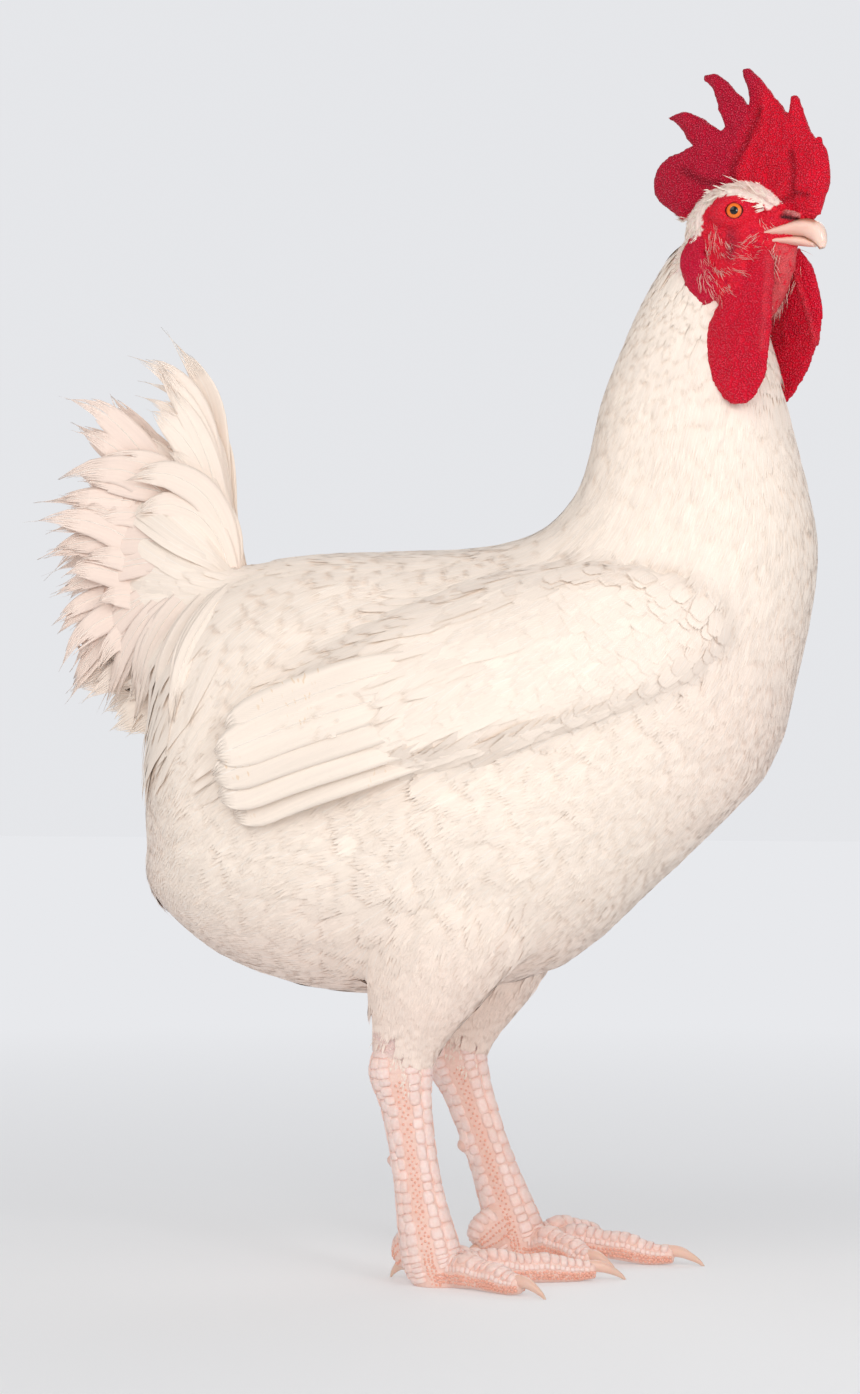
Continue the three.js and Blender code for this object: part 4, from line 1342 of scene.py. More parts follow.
def head_details(points, faces, away):
    """Folds and wrinkles moved into the skin, and the colour and grain of each place; creases and wrinkle
    hollows get painted shade, the wattle's fold a painted highlight.
    """
    h = to_head(points)
    scarlet = np.array(chosen("comb_colour"))
    x, y, z = h.T
    normals = vertex_normals(points, faces)
    near = {name: smoothstep(gap, 2.2, 0.4) for name, gap in away.items()}
    comb = near["comb"] * smoothstep(z, 2, 10)
    wattle = near["wattle"] * smoothstep(z, -10, -22) * (1 - near["neck"] * smoothstep(z, -52, -64))
    lobe = near["lobe"] * (1 - wattle)
    throat = near["throat"] * (1 - wattle) * (1 - near["skull"] * 0.7)
    neck = near["neck"] * (1 - near["skull"]) * (1 - wattle) * (1 - lobe) * (1 - throat)
    face = np.clip(1 - comb - wattle - lobe - neck - throat, 0, 1)
    fold = ridged(h, 3, 7.0, (1, 1, 0.6))
    fine = ridged(h, 9, 2.6)
    broad = ridged(h, 21, 16.0)
    eye = np.hypot(x - 9, z - 4.5)
    move = comb * (1.0 * broad + 0.5 * fold + 0.15 * fine) + wattle * (0.5 * broad + 0.3 * fold + 0.15 * fine)
    move += lobe * (0.35 * fine + 0.3 * fold) + throat * (0.5 * fold + 0.4 * fine)
    shadow = np.zeros(len(points))
    for line, width, depth in COMB_CREASES:
        groove = near_line(x, z, line, width) * comb
        move -= groove * depth
        shadow = np.maximum(shadow, groove)
    arcs = np.sin(eye * 2.1 + 2.5 * fold)
    move += face * (0.35 * arcs + 0.45 * fine + 0.45 * fold) * smoothstep(eye, 8, 12)
    beside = (np.abs(y) > 3) * near["skull"]
    slit = near_line(x, z, NOSTRIL, 1.25) * beside
    lip = near_line(x, z, np.array(NOSTRIL) + [0.5, 2.0], 1.4) * beside
    seam = near_line(x, z, WATTLE_FOLD, 1.7) * wattle
    move += 0.9 * lip - 1.6 * slit
    move += 0.9 * seam
    points = points + normals * move[:, None]
    mark = near_line(x, z, CHEEK_MARK, 3.0) * face * (0.5 + 0.5 * fine)
    bare_neck = smoothstep(x, 8, 16) * smoothstep(z, -68, -54)
    tones = [
        # how much of each form, its two colours, and how far from the first to the second
        (comb, CRIMSON, scarlet, smoothstep(x + 0.35 * (40 - z), -4, 8)),
        # wattle, lobe and face lean further to crimson where their wrinkles sink: painted shade in the
        # hollows; the wattle's base share of crimson and the lobe's crimson low down are their own colour
        (wattle, scarlet, CRIMSON, 0.25 + 0.3 * np.clip(-fold, 0, 1)),
        (lobe, PURPLE_RED, CRIMSON, np.clip(smoothstep(z, -8, -22) - 0.6 * fine, 0, 1)),
        (face, FACE_RED, CRIMSON, np.clip(0.2 - 0.8 * fine - 0.5 * fold, 0, 1)),
        (throat, THROAT_PINK, scarlet, np.clip(0.45 - 0.9 * fine, 0, 0.9)),
        (neck, coat_tone(points), THROAT_PINK, bare_neck),
    ]
    shade = sum(share[:, None] * blend(first, second, at[:, None]) for share, first, second, at in tones)
    shade = shade / np.maximum(sum(share for share, *_ in tones), 1e-3)[:, None]
    shade = shade * (1 - 0.45 * shadow[:, None])
    # lighter red along the wattle's raised fold: a painted highlight on its ridge
    for colour, amount in ((FOLD_PAINTED_HIGHLIGHT, 0.45 * seam), (CHEEK_DARK, 0.75 * np.clip(mark, 0, 1)),
                           (NOSTRIL_PALE, 0.8 * np.clip(lip - slit, 0, 1)),
                           # near black in the nostril's dent: painted shade in its opening
                           (NOSTRIL_PAINTED_SHADE, np.clip(1.3 * slit, 0, 1))):
        shade = blend(shade, colour, amount[:, None])
    wave = 1.2 * ridged(h, 40, 4.0)[:, None] * [1, 0, 0.6]
    hairy = behind_crown_edge(h + wave) & (np.maximum(face, neck) > 0.5)
    shade = np.where(hairy[:, None], coat_tone(points), shade)
    grain = np.clip(comb + 0.9 * wattle + 0.5 * lobe + 0.6 * face + 0.2 * neck + 0.6 * throat, 0, 1)
    grain = np.where(hairy, 0.1, grain)
    return points, shade, grain, hairy.astype(float)


def body_shell():
    coat = coat_surface()
    points, faces = remeshed([(coat.points, coat.faces)], VOXEL["body"])
    normals = vertex_normals(points, faces)
    deep = coat_depth(points) + 3.0 * smoothstep(points[:, 2], 484, 500)
    points = relaxed(points - normals * deep[:, None], faces, 2)
    return points, faces


# ---------- legs ----------
SHANK_DEPTH, SHANK_WIDTH = 11.6, 8.6
TOE_HEIGHT = 7.8
CLAW_LENGTH = 16
LEGS = [
    dict(word="right", side=-1, hock=(-7, 110), ankle=(6, 25), toe_in=20, splay=1.0, arch=0.4),
    dict(word="left", side=1, hock=(6, 108), ankle=(35, 24), toe_in=3, splay=0.65, arch=3.4),
]
TOES = [
    dict(name="inner", angle=-46, length=50, half=6.8),
    dict(name="middle", angle=0, length=82, half=7.8),
    dict(name="outer", angle=52, length=56, half=7.0),
]
HALLUX = dict(angle=-143, length=22, half=6.8)


def shank_rows(leg):
    y = leg["side"] * LEG_SPREAD
    (hx, hz), (ax, az) = leg["hock"], leg["ankle"]
    at = lambda t: [hx + (ax - hx) * t, y, hz + (az - hz) * t]  # noqa: E731
    return [
        [hx - 1, y, hz + 18, 9, 9],
        [*at(0), 11.4, 16.2],
        [*at(0.22), 9.4, 13],
        [*at(0.55), SHANK_WIDTH, SHANK_DEPTH],
        [*at(0.82), 9.6, 12.8],
        [ax + 2, y, az - 6, 13, 15],
        [ax + 5, y, az - 17, 13, 14.5],
        [ax + 9, y, -5, 10, 10],
    ]


def toe_at(leg, angle, reach):
    """A place in plan at that reach along a toe."""
    outward_angle = math.radians(angle * leg["splay"] - leg["toe_in"]) * leg["side"]
    return [leg["ankle"][0] + 6 + math.cos(outward_angle) * reach,
            leg["side"] * LEG_SPREAD + math.sin(outward_angle) * reach]


def toe_rows(leg, toe):
    rows = []
    for i in range(7):
        t = i / 6
        knuckle = 1 + 0.07 * math.cos(t * math.pi * 6)
        height = TOE_HEIGHT * (1.2 - 0.5 * t) * knuckle
        half = toe["half"] * (1.12 - 0.36 * t) * knuckle
        tip = 0.72 if i == 6 else 1
        lift = leg["arch"] * (2 if toe["name"] == "outer" else 1) * math.sin(math.pi * min(1, t * 1.1)) ** 2
        rows.append([*toe_at(leg, toe["angle"], 5 + (toe["length"] - 5) * t), height - 0.6 + lift, half * tip,
                     height * tip])
    return rows


def hallux_angle(leg):
    return (HALLUX["angle"] + leg["toe_in"]) / leg["splay"]


def hallux_rows(leg):
    at = lambda reach: toe_at(leg, hallux_angle(leg), reach)  # noqa: E731
    half, length = HALLUX["half"], HALLUX["length"]
    return [
        [*at(8), 22, half * 0.8, 8],
        [*at(15), 19, half * 1.2, 11],
        [*at(length), 14.5, half * 1.2, 10.5],
        [*at(length + 5), 10, half * 0.8, 6],
    ]


def claw_rows(leg, angle, reach, lift, length):
    at = lambda r: toe_at(leg, angle, reach + r)  # noqa: E731
    return [
        [*at(-6), lift + 1.6, 3.1, 3.1],
        [*at(length * 0.15), lift + 1.2, 2.8, 3],
        [*at(length * 0.5), lift - 0.8, 2.1, 2.2],
        [*at(length * 0.82), lift - 3.6, 1.2, 1.3],
        [*at(length), lift - 6.2, 0.5, 0.5],
    ]


def spur(leg):
    (hx, hz), (ax, az) = leg["hock"], leg["ankle"]
    x, z = hx + (ax - hx) * 0.56 - SHANK_DEPTH + 1, hz + (az - hz) * 0.56
    y = leg["side"] * (LEG_SPREAD - 4)
    rows = [[x + 5, y, z, 4.6, 4.6], [x, y, z, 4.4, 4.4], [x - 3, y, z, 2.8, 2.8], [x - 4.6, y, z, 0.6, 0.6]]
    return sweep(rows, 10, 12)


SHANK_FLAT = (1, 0, 0.2)  # the shank's deeper direction


def leg_shell():
    parts = []
    for leg in LEGS:
        parts.append(sweep(shank_rows(leg), 40, 28, flat=SHANK_FLAT))
        parts.append(spur(leg))
        parts += [sweep(toe_rows(leg, toe), 30, 20, power=2.3) for toe in TOES]
        parts.append(sweep(hallux_rows(leg), 16, 20))
    points, faces = remeshed(parts, VOXEL["legs"])
    points = relaxed(points, faces, 2)
    points[:, 2] = np.maximum(points[:, 2], 0)
    return points, faces


def leg_tone(points):
    """Paler towards the feet and at the hocks."""
    low = smoothstep(points[:, 2], 40, 8)[:, None]
    high = smoothstep(points[:, 2], 95, 125)[:, None]
    return blend(LEG_PINK, LEG_PALE, 0.7 + 0.3 * np.maximum(high, 0.3 * low))


def build_skin():
    head, head_faces, away = head_shell()
    head, head_shade, head_grain, hairy = head_details(head, head_faces, away)
    body, body_faces = body_shell()
    legs, leg_faces = leg_shell()
    MADE["head_skin"] = Surface(head, head_faces)
    MADE["head_skin"].hairy = np.concatenate([hairy[group].mean(1) for group in head_faces])
    MADE["leg_skin"] = Surface(legs, leg_faces)
    points, faces = joined([(head, head_faces), (body, body_faces), (legs, leg_faces)])
    mesh = mesh_of("skin", points, faces)
    tint(mesh, np.vstack([head_shade, coat_tone(body), leg_tone(legs)]))
    grain = np.concatenate([head_grain, np.full(len(body), 0.15), np.full(len(legs), 0.3)])
    set_attribute(mesh, "grain", "FLOAT", "POINT", grain)
    skin = new_object("skin", mesh, material_of("bare_skin"), material_of("scaly_legs"))
    slots = np.zeros(len(mesh.polygons), np.int32)
    slots[-sum(len(group) for group in leg_faces):] = 1
    mesh.polygons.foreach_set("material_index", slots)
    return finish_piece(skin, "face_skin", *SKINNED)


# ---------- scales and bristles, set out by geometry nodes ----------
def scatter_tree():
    """Puts one shape on every point, turned and sized by the point's own values."""
    tree = bpy.data.node_groups.new("set_out_shapes", "GeometryNodeTree")
    for label, kind in (("Points", "Geometry"), ("Shape", "Object"), ("Finish", "Material"),
                        ("Unevenness", "Float"), ("Seed", "Int")):
        tree.interface.new_socket(label, in_out="INPUT", socket_type="NodeSocket" + kind)
    tree.interface.new_socket("Result", in_out="OUTPUT", socket_type="NodeSocketGeometry")
    given = tree.nodes.new("NodeGroupInput").outputs
    turn, size = (add(tree, "GeometryNodeInputNamedAttribute", {"data_type": "FLOAT_VECTOR"}, Name=name)
                  for name in ("turn", "size"))
    low = maths(tree, "SUBTRACT", 1.0, given["Unevenness"])
    high = plus(tree, 1.0, given["Unevenness"])
    random = add(tree, "FunctionNodeRandomValue", {"data_type": "FLOAT"}, i2=low, i3=high, Seed=given["Seed"])
    scaled = add(tree, "ShaderNodeVectorMath", {"operation": "SCALE"}, i0=size.outputs["Attribute"],
                 Scale=random.outputs[1])
    shape = add(tree, "GeometryNodeObjectInfo", None, Object=given["Shape"]).outputs["Geometry"]
    turned = add(tree, "FunctionNodeEulerToRotation", None, Euler=turn.outputs["Attribute"]).outputs[0]
    set_shapes = add(tree, "GeometryNodeInstanceOnPoints", None, Points=given["Points"], Instance=shape,
                     Rotation=turned, Scale=scaled.outputs[0]).outputs[0]
    real = add(tree, "GeometryNodeRealizeInstances", None, Geometry=set_shapes).outputs[0]
    final = add(tree, "GeometryNodeSetMaterial", None, Geometry=real, Material=given["Finish"]).outputs[0]
    tree.links.new(final, tree.nodes.new("NodeGroupOutput").inputs["Result"])
    return tree


UNEVENNESS = 0.08  # how far a laid shape's size may be off


def set_out(name, places, axes, sizes, shape, finish):
    """A plain mesh of the shape at every place; axes are rows of x, y and z directions."""
    tree = bpy.data.node_groups.get("set_out_shapes") or scatter_tree()
    mesh = bpy.data.meshes.new(name)
    mesh.from_pydata(((places + SHIFT) * MM).tolist(), [], [])
    turns = [Matrix(rows.T.tolist()).to_euler()[:] for rows in axes]
    set_attribute(mesh, "turn", "FLOAT_VECTOR", "POINT", turns)
    set_attribute(mesh, "size", "FLOAT_VECTOR", "POINT", sizes * MM)
    piece = new_object(name, mesh)
    change = piece.modifiers.new("shapes", "NODES")
    change.node_group = tree
    values = {"Shape": shape, "Finish": material_of(finish), "Unevenness": UNEVENNESS, "Seed": SEED}
    for socket in tree.interface.items_tree:
        if socket.in_out == "INPUT" and socket.name in values:
            change[socket.identifier] = values[socket.name]
    baked(piece)
    drop(shape)
    piece.data.shade_smooth()
    return piece


def scale_shape():
    """A low domed plate of unit half width and length."""
    around, rings = 8, []
    wide, tall = oval(around, 2.2)
    for reach, height in ((1.0, -0.35), (0.8, 0.6)):
        rings.append(np.stack([wide * reach, tall * reach, np.full(around, height)], 1))
    points, faces = closed_loft(np.array(rings))
    points[-1, 2] = 1.0
    mesh = mesh_of("_plate", points / MM - SHIFT, faces)
    tint(mesh, np.broadcast_to(LEG_PINK, points.shape))
    return new_object("_plate", mesh)


def bristle_shape():
    """A thin hair of unit length along y that bends away from the skin."""
    rows = [[0, 0, -0.05, 0.02, 0.02], [0, 0.35, 0.05, 0.019, 0.019], [0, 0.7, 0.1, 0.013, 0.013],
            [0, 1, 0.12, 0.004, 0.004]]
    points, faces = sweep(rows, 4, 3)
    mesh = mesh_of("_hair", points / MM - SHIFT, faces)
    return new_object("_hair", mesh)


def frames_on(surface, places, heading, tilt=0.0):
    """Points moved to a surface, with axes: across, along the heading, and away from the surface."""
    here, out = surface.nearest(places)
    along = unit(heading - out * dots(heading, out))
    along, out = unit(along + out * tilt), unit(out - along * tilt)
    return here, np.stack([np.cross(along, out), along, out], 1)


def round_path(rows, flat, t, angle):
    """Places round a swept form, and the way it runs there."""
    data, along, side, up = path_frame(rows, t, flat)
    aside, above = np.cos(angle)[:, None], np.sin(angle)[:, None]
    return data[:, :3] + side * data[:, 3:4] * aside + up * data[:, 4:5] * above, along


SHANK_SCUTES = [
    # from and to along the shank, rows, then the angles that each row of plates spans; 90 looks forwards
    (0.08, 0.95, 18, [(46, 89), (91, 134)]),
    (0.05, 0.95, 25, [(18, 45), (135, 162)]),
    (0.05, 0.92, 25, [(-44, -14), (194, 224)]),
    (0.05, 0.9, 20, [(-78, -45), (-112, -79), (-146, -113)]),
]
PLATE_AROUND = 12  # points round each ring of a plate
PLATE_RINGS = [(1.0, -0.45), (0.93, 0.55), (0.55, 0.95)]  # reach and height, from the sunk rim to the top


def wrapped_scutes(leg, rng):
    """Low plates that follow the round of shank and toes: places on the form and heights over it."""
    wide, tall = oval(PLATE_AROUND, 3.4)
    u = np.concatenate([reach * wide for reach, _ in PLATE_RINGS] + [[0.0]])
    v = np.concatenate([reach * tall for reach, _ in PLATE_RINGS] + [[0.0]])
    high = np.concatenate([np.full(PLATE_AROUND, h) for _, h in PLATE_RINGS] + [[1.0]]) + 0.15 * v
    spots, heights = [], []

    def row(rows, flat, edges, first, last, rise):
        for low, end in zip(edges[:-1], edges[1:]):
            size = 1.08 + 0.05 * rng.normal(size=2)
            t = (low + end) / 2 + v * (end - low) / 2 * size[0]
            angle = np.radians((first + last) / 2 + u * (last - first) / 2 * size[1] + rng.normal(0, 1.5))
            spots.append(round_path(rows, flat, np.clip(t, 0, 1), angle)[0])
            heights.append(high * rise * (1 + 0.15 * rng.normal()))

    for low, end, count, spans in SHANK_SCUTES:
        for number, (first, last) in enumerate(spans):
            edges = np.linspace(low, end, count + 1) + 0.5 * (number % 2) * (end - low) / count
            edges[1:-1] += rng.normal(0, 0.16 * (end - low) / count, count - 1)
            row(shank_rows(leg), SHANK_FLAT, edges, first, last, 0.6)
    for toe in TOES:
        count = int(toe["length"] / 5.4)
        row(toe_rows(leg, toe), (0, 0, 1), np.linspace(0.1, 0.97, count + 1), 28, 152, 1.1)
        for first, last in ((4, 27), (153, 176)):
            edges = np.linspace(0.12, 0.95, int(count * 1.6) + 1)
            row(toe_rows(leg, toe), (0, 0, 1), edges, first, last, 0.5)
    row(hallux_rows(leg), (0, 0, 1), np.linspace(0.3, 0.97, 5), 30, 150, 0.7)
    return np.array(spots), np.array(heights)


def build_scutes():
    rng = np.random.default_rng(SEED + 40)
    both = [wrapped_scutes(leg, rng) for leg in LEGS]
    spots, heights = (np.vstack([one[k] for one in both]) for k in (0, 1))
    count, size, _ = spots.shape
    spots = spots.reshape(-1, 3)
    places, out = MADE["leg_skin"].nearest(spots)
    away = np.linalg.norm(places - spots, axis=1).reshape(count, size).max(1)
    points = (places + out * heights.reshape(-1, 1)).reshape(count, size, 3)
    points = points[(away < 3.5) & (points[:, :, 2].min(1) > 0.5)]
    n, top = PLATE_AROUND, size - 1
    quads = [[ring * n + k, ring * n + (k + 1) % n, ring * n + (k + 1) % n + n, ring * n + k + n]
             for ring in range(2) for k in range(n)]
    tris = [[2 * n + k, 2 * n + (k + 1) % n, top] for k in range(n)]
    shape = points[0]
    turn = np.cross(shape[n] - shape[top], shape[n + 3] - shape[top]) @ (shape[top] - shape[:n].mean(0))
    order = 1 if turn > 0 else -1
    start = (np.arange(len(points)) * size)[:, None, None]
    faces = [(start + np.array(group)).reshape(-1, len(group[0]))[:, ::order] for group in (quads, tris)]
    mesh = mesh_of("leg_scutes", points.reshape(-1, 3), faces)
    ring = np.repeat([-0.1, 0.75, 1.0, 1.0], [n, n, n, 1])
    tone = blend(LEG_PINK, np.array(chosen("scale_colour")), ring[None, :, None])
    tone = (1 + rng.normal(0, 0.03, (len(points), 1, 1))) * tone
    tint(mesh, np.clip(tone.reshape(-1, 3), 0, 1))
    return finish_piece(new_object("leg_scutes", mesh, material_of("scaly_legs")), "leg_skin")


def build_papillae():
    """Small round scales down the sides of the shanks and under the toes."""
    rng = np.random.default_rng(SEED + 50)
    spots, headings, sizes = [], [], []

    def lay(rows, flat, low, high, count, angles, size):
        for number, angle in enumerate(angles):
            t = np.linspace(low, high, count) + 0.5 * (number % 2) * (high - low) / count
            t = t + rng.normal(0, 0.08 * (high - low) / count, count)
            angle = np.radians(angle + rng.normal(0, 1.2, count))
            where, along = round_path(rows, flat, np.clip(t, 0, 1), angle)
            spots.append(where)
            headings.append(along)
            sizes.append(np.array(size) * rng.uniform(0.75, 1.1, (count, 1)))

    for leg in LEGS:
        lay(shank_rows(leg), SHANK_FLAT, 0.2, 0.93, 36, (12, 4, -5, 170, 177, 185), (0.75, 0.75, 0.45))
        for toe in TOES:
            lay(toe_rows(leg, toe), (0, 0, 1), 0.05, 0.97, int(toe["length"] / 2.3),
                (-8, -22, -36, 188, 202, 216), (1.0, 1.1, 0.7))
        lay(hallux_rows(leg), (0, 0, 1), 0.1, 0.95, 11, (0, -25, 180, 205, 18, 162), (0.9, 0.9, 0.5))
    spots, sizes = np.vstack(spots), np.vstack(sizes)
    places, axes = frames_on(MADE["leg_skin"], spots, np.vstack(headings))
    fits = (np.linalg.norm(places - spots, axis=1) < 3) & (places[:, 2] > 1)
    piece = set_out("leg_papillae", places[fits], axes[fits], sizes[fits], scale_shape(), "scaly_legs")
    return finish_piece(piece, "leg_skin")


BRISTLES = [
    # how many, length, spread about the line, then the line that they follow in side view
    (60, 3.2, 0.9, [[-3, -1], [0, -8], [8, -12.5], [18, -12.5]]),
    (64, 3.4, 1.0, [[-6, -4], [-2, -13], [8, -18], [19, -17]]),
    (64, 3.8, 1.1, [[-9, -8], [-5, -19], [4, -25], [14, -25]]),
    (56, 3.8, 1.1, [[-9, -16], [-5, -26], [2, -33], [9, -34]]),
    (30, 4.4, 1.6, [[-8, -24], [-4, -33], [2, -40]]),
    (30, 3.0, 1.0, [[-6, 9], [2, 14.5], [13, 14.5], [22, 9]]),
    (26, 3.0, 1.0, [[19, 3], [23, -2], [30, -4]]),
    (24, 3.2, 1.2, [[20, -7], [13, -9]]),
]
THROAT_BRISTLES = (170, 5.5, 3.0, [[24, -14], [21, -27], [16, -40], [12, -50]])


def build_bristles():
    """Fine hairs in arcs over the bare face, and longer ones on the throat."""
    rng = np.random.default_rng(SEED + 30)
    spots, headings, sizes = [], [], []
    skin = MADE["head_skin"]
    down = np.array([0, 0, -1.0])

    def grow(start_y, count, length, spread, line):
        t = rng.random(count)
        path = smooth_rows(line, t)
        ahead = smooth_rows(line, np.minimum(t + 0.02, 1)) - path
        h = np.column_stack([path[:, 0], np.zeros(count), path[:, 1]]) + rng.normal(0, spread, (count, 3))
        along = np.column_stack([ahead[:, 0], np.zeros(count), ahead[:, 1]]) + 1e-4
        for place, way in zip(h, along):
            start, middle_plane = from_head([[place[0], start_y, place[2]], [place[0], 0, place[2]]])
            aim = middle_plane - start
            hit = skin.tree.ray_cast(start.tolist(), unit(aim).tolist(), float(np.linalg.norm(aim)))
            if hit[0] is not None and skin.hairy[hit[2]] < 0.5:
                spots.append(np.array(hit[0]))
                headings.append(HEAD_AXES @ unit(way) + 0.4 * down + rng.normal(0, 0.18, 3))
                sizes.append(np.full(3, 1.3 * length * (1 + rng.normal(0, 0.2))))

    for side in (1, -1):
        for row in BRISTLES:
            grow(60 * side, *row)
        grow(12 * side, *THROAT_BRISTLES)
    places, axes = frames_on(skin, np.array(spots), np.array(headings), 0.25)
    piece = set_out("face_bristles", places, axes, np.array(sizes), bristle_shape(), "pale_bristle")
    return finish_piece(piece, "plumage")


# ---------- eyes, beak and claws ----------
IRIS, PUPIL = 3.9, 2.2  # radii


def build_eye(word, side):
    """A ball with a raised front; its rings lie round the way that the eye looks."""
    around = 48
    angles = np.concatenate([np.linspace(0.02, 0.75, 26), np.linspace(0.8, math.pi - 0.05, 16)])
    turn = 2 * math.pi * np.arange(around) / around
    rings = []
    for a in angles:
        r, h = EYE_RADIUS * math.sin(a), EYE_RADIUS * math.cos(a)
        h += 0.35 * float(smoothstep(np.array(r), 4.6, 0)) if a < 1.5 else 0
        flat = np.stack([r * np.cos(turn), r * np.sin(turn), np.full(around, h)], 1)
        rings.append(eye_centre(side) + flat @ eye_axes(side))
    points, faces = closed_loft(np.array(rings))
    local = (points - eye_centre(side)) @ eye_axes(side).T
    off = np.hypot(local[:, 0], local[:, 1])
    front = local[:, 2] > 0
    spokes = 0.85 + 0.15 * np.sin(np.arctan2(local[:, 1], local[:, 0]) * 21)
    iris_radius, pupil_radius = chosen("iris_radius") / MM, chosen("pupil_radius") / MM
    iris = blend(np.array(chosen("iris_colour")), IRIS_EDGE, smoothstep(off, 3.1, iris_radius)[:, None])
    shade = iris * spokes[:, None]
    shade = np.where((off > iris_radius)[:, None], IRIS_RIM, shade)
    shade = np.where((off < pupil_radius)[:, None], PUPIL_BLACK, shade)
    shade = np.where(front[:, None], shade, BALL_BACK)
    mesh = mesh_of(f"eyeball_{word}", from_head(points), faces)
    tint(mesh, shade)
    return finish_piece(new_object(f"eyeball_{word}", mesh, material_of("eye_gloss")), "eye", f"eye_{word}")


UPPER_BEAK = [
    [17, 0, -6.4, 11, 1.4],
    [24, 0, -5.4, 10, 2.4],
    [31, 0, -4.4, 8.8, 3.5],
    [37, 0, -3.8, 7.6, 4.4],
    [42, 0, -4.3, 6.4, 4.9],
    [46.2, 0, -6.6, 4.9, 5.2],
    [49, 0, -10.8, 3.1, 3.7],
    [50, 0, -15, 1.2, 1.7],
]
LOWER_BEAK = [
    [20, 0, -9.6, 8.8, 1.8],
    [30, 0, -9.9, 7.4, 2.2],
    [36, 0, -10.3, 5.9, 2.4],
    [42, 0, -11.4, 3.9, 2.3],
    [46, 0, -13, 1.8, 1.2],
]
CULMEN = [[30, -1], [37, 0.6], [42, 0.7], [46, -0.2], [50, -3.1]]  # x, z along the upper beak's top
BEAK_EDGE = [[20, -7.6], [37, -8.2], [42, -9.3], [46, -11.6], [49.5, -15.4]]  # and along its lower rim


def build_beak(name, rows, node):
    points, faces = sweep(rows, 48, 36, power=2.1)
    x, _, z = points.T
    shade = blend(HORN_PINK, HORN_PALE, smoothstep(x, 44, 50.5)[:, None])
    over_top = z - np.interp(x, *np.transpose(CULMEN))
    ridge = smoothstep(over_top, -2.4, -0.8) * smoothstep(x, 49, 46)
    shade = blend(shade, HORN_BROWN, (0.75 * ridge)[:, None])
    from_edge = np.abs(z - np.interp(x, *np.transpose(BEAK_EDGE)))
    edge = smoothstep(from_edge, 1.1, 0.3) * smoothstep(x, 38, 43)
    shade = blend(shade, HORN_BROWN, (edge * 0.8)[:, None])
    mesh = mesh_of(name, from_head(points), faces)
    tint(mesh, shade)
    return finish_piece(new_object(name, mesh, material_of("beak_horn")), "horn", node)


def build_claws():
    parts, nodes, tips = [], [], []
    for leg in LEGS:
        for toe in TOES:
            parts.append(sweep(claw_rows(leg, toe["angle"], toe["length"], 6, CLAW_LENGTH), 18, 16))
            nodes.append(f"claw_{toe['name']}_{leg['word']}")
        parts.append(sweep(claw_rows(leg, hallux_angle(leg), HALLUX["length"] + 3, 6.5, 10), 18, 16))
        nodes.append(f"claw_back_{leg['word']}")
    for points, _ in parts:
        points[:, 2] = np.maximum(points[:, 2], 0.05)
        tips.append(np.linspace(0, 1, len(points)))
    points, faces = joined(parts)
    along = np.concatenate(tips)[:, None]
    mesh = mesh_of("claws", points, faces)
    tint(mesh, blend(CLAW_ROOT, CLAW_TIP, along))
    return finish_piece(new_object("claws", mesh, material_of("beak_horn")), "horn", *nodes)


# ---------- long feathers ----------
def long_feathers(name, feathers, rng, nodes, finish="flight_plumage", **shape):
    """Separate quilled feathers: vanes of some thickness, and a shaft along each.

    Each feather gives its spine, the way that its flat side faces, and its half width.
    """
    spines = np.array([spine for spine, _, _ in feathers])
    facings = unit(np.array([facing for _, facing, _ in feathers], float))
    normals = np.broadcast_to(facings[:, None], spines.shape)
    halves = np.array([half for _, _, half in feathers], float)
    points, faces, _, vane, owner, tone = feather_batch(spines, normals, halves, rng, **shape)
    mesh = mesh_of(name, points, faces)
    uv_from_points(mesh, "OFBake", skin_map(spines[:, 0])[owner] + (vane - 0.5) * TUFT_PATCH)
    uv_from_points(mesh, "vane", vane)
    tint(mesh, np.clip(coat_colour(spines[:, spines.shape[1] // 2], rng, 0.012)[owner] * tone, 0, 1))
    piece = new_object(name, mesh, material_of(finish))
    solid = piece.modifiers.new("thickness", "SOLIDIFY")
    solid.thickness, solid.offset = chosen("vane_thickness"), -1
    baked(piece)
    shafts = []
    for spine, normal in zip(spines, normals):
        t = np.linspace(0, 1, len(spine))
        lift = (0.1 - 0.1 * t)[:, None]
        path = np.column_stack([spine + normal * lift, 0.5 * (1 - 0.75 * t), 0.4 * (1 - 0.7 * t)])
        shafts.append(sweep(path[:-1], 24, 6, flat=normal.mean(0)))
    points, faces = joined(shafts)
    quills = mesh_of(name + "_shafts", points, faces)
    uv_from_points(quills, "OFBake", skin_map(points))
    finish_piece(piece, "plumage", *nodes)
    finish_piece(new_object(name + "_shafts", quills, material_of("quill_horn")), "plumage")


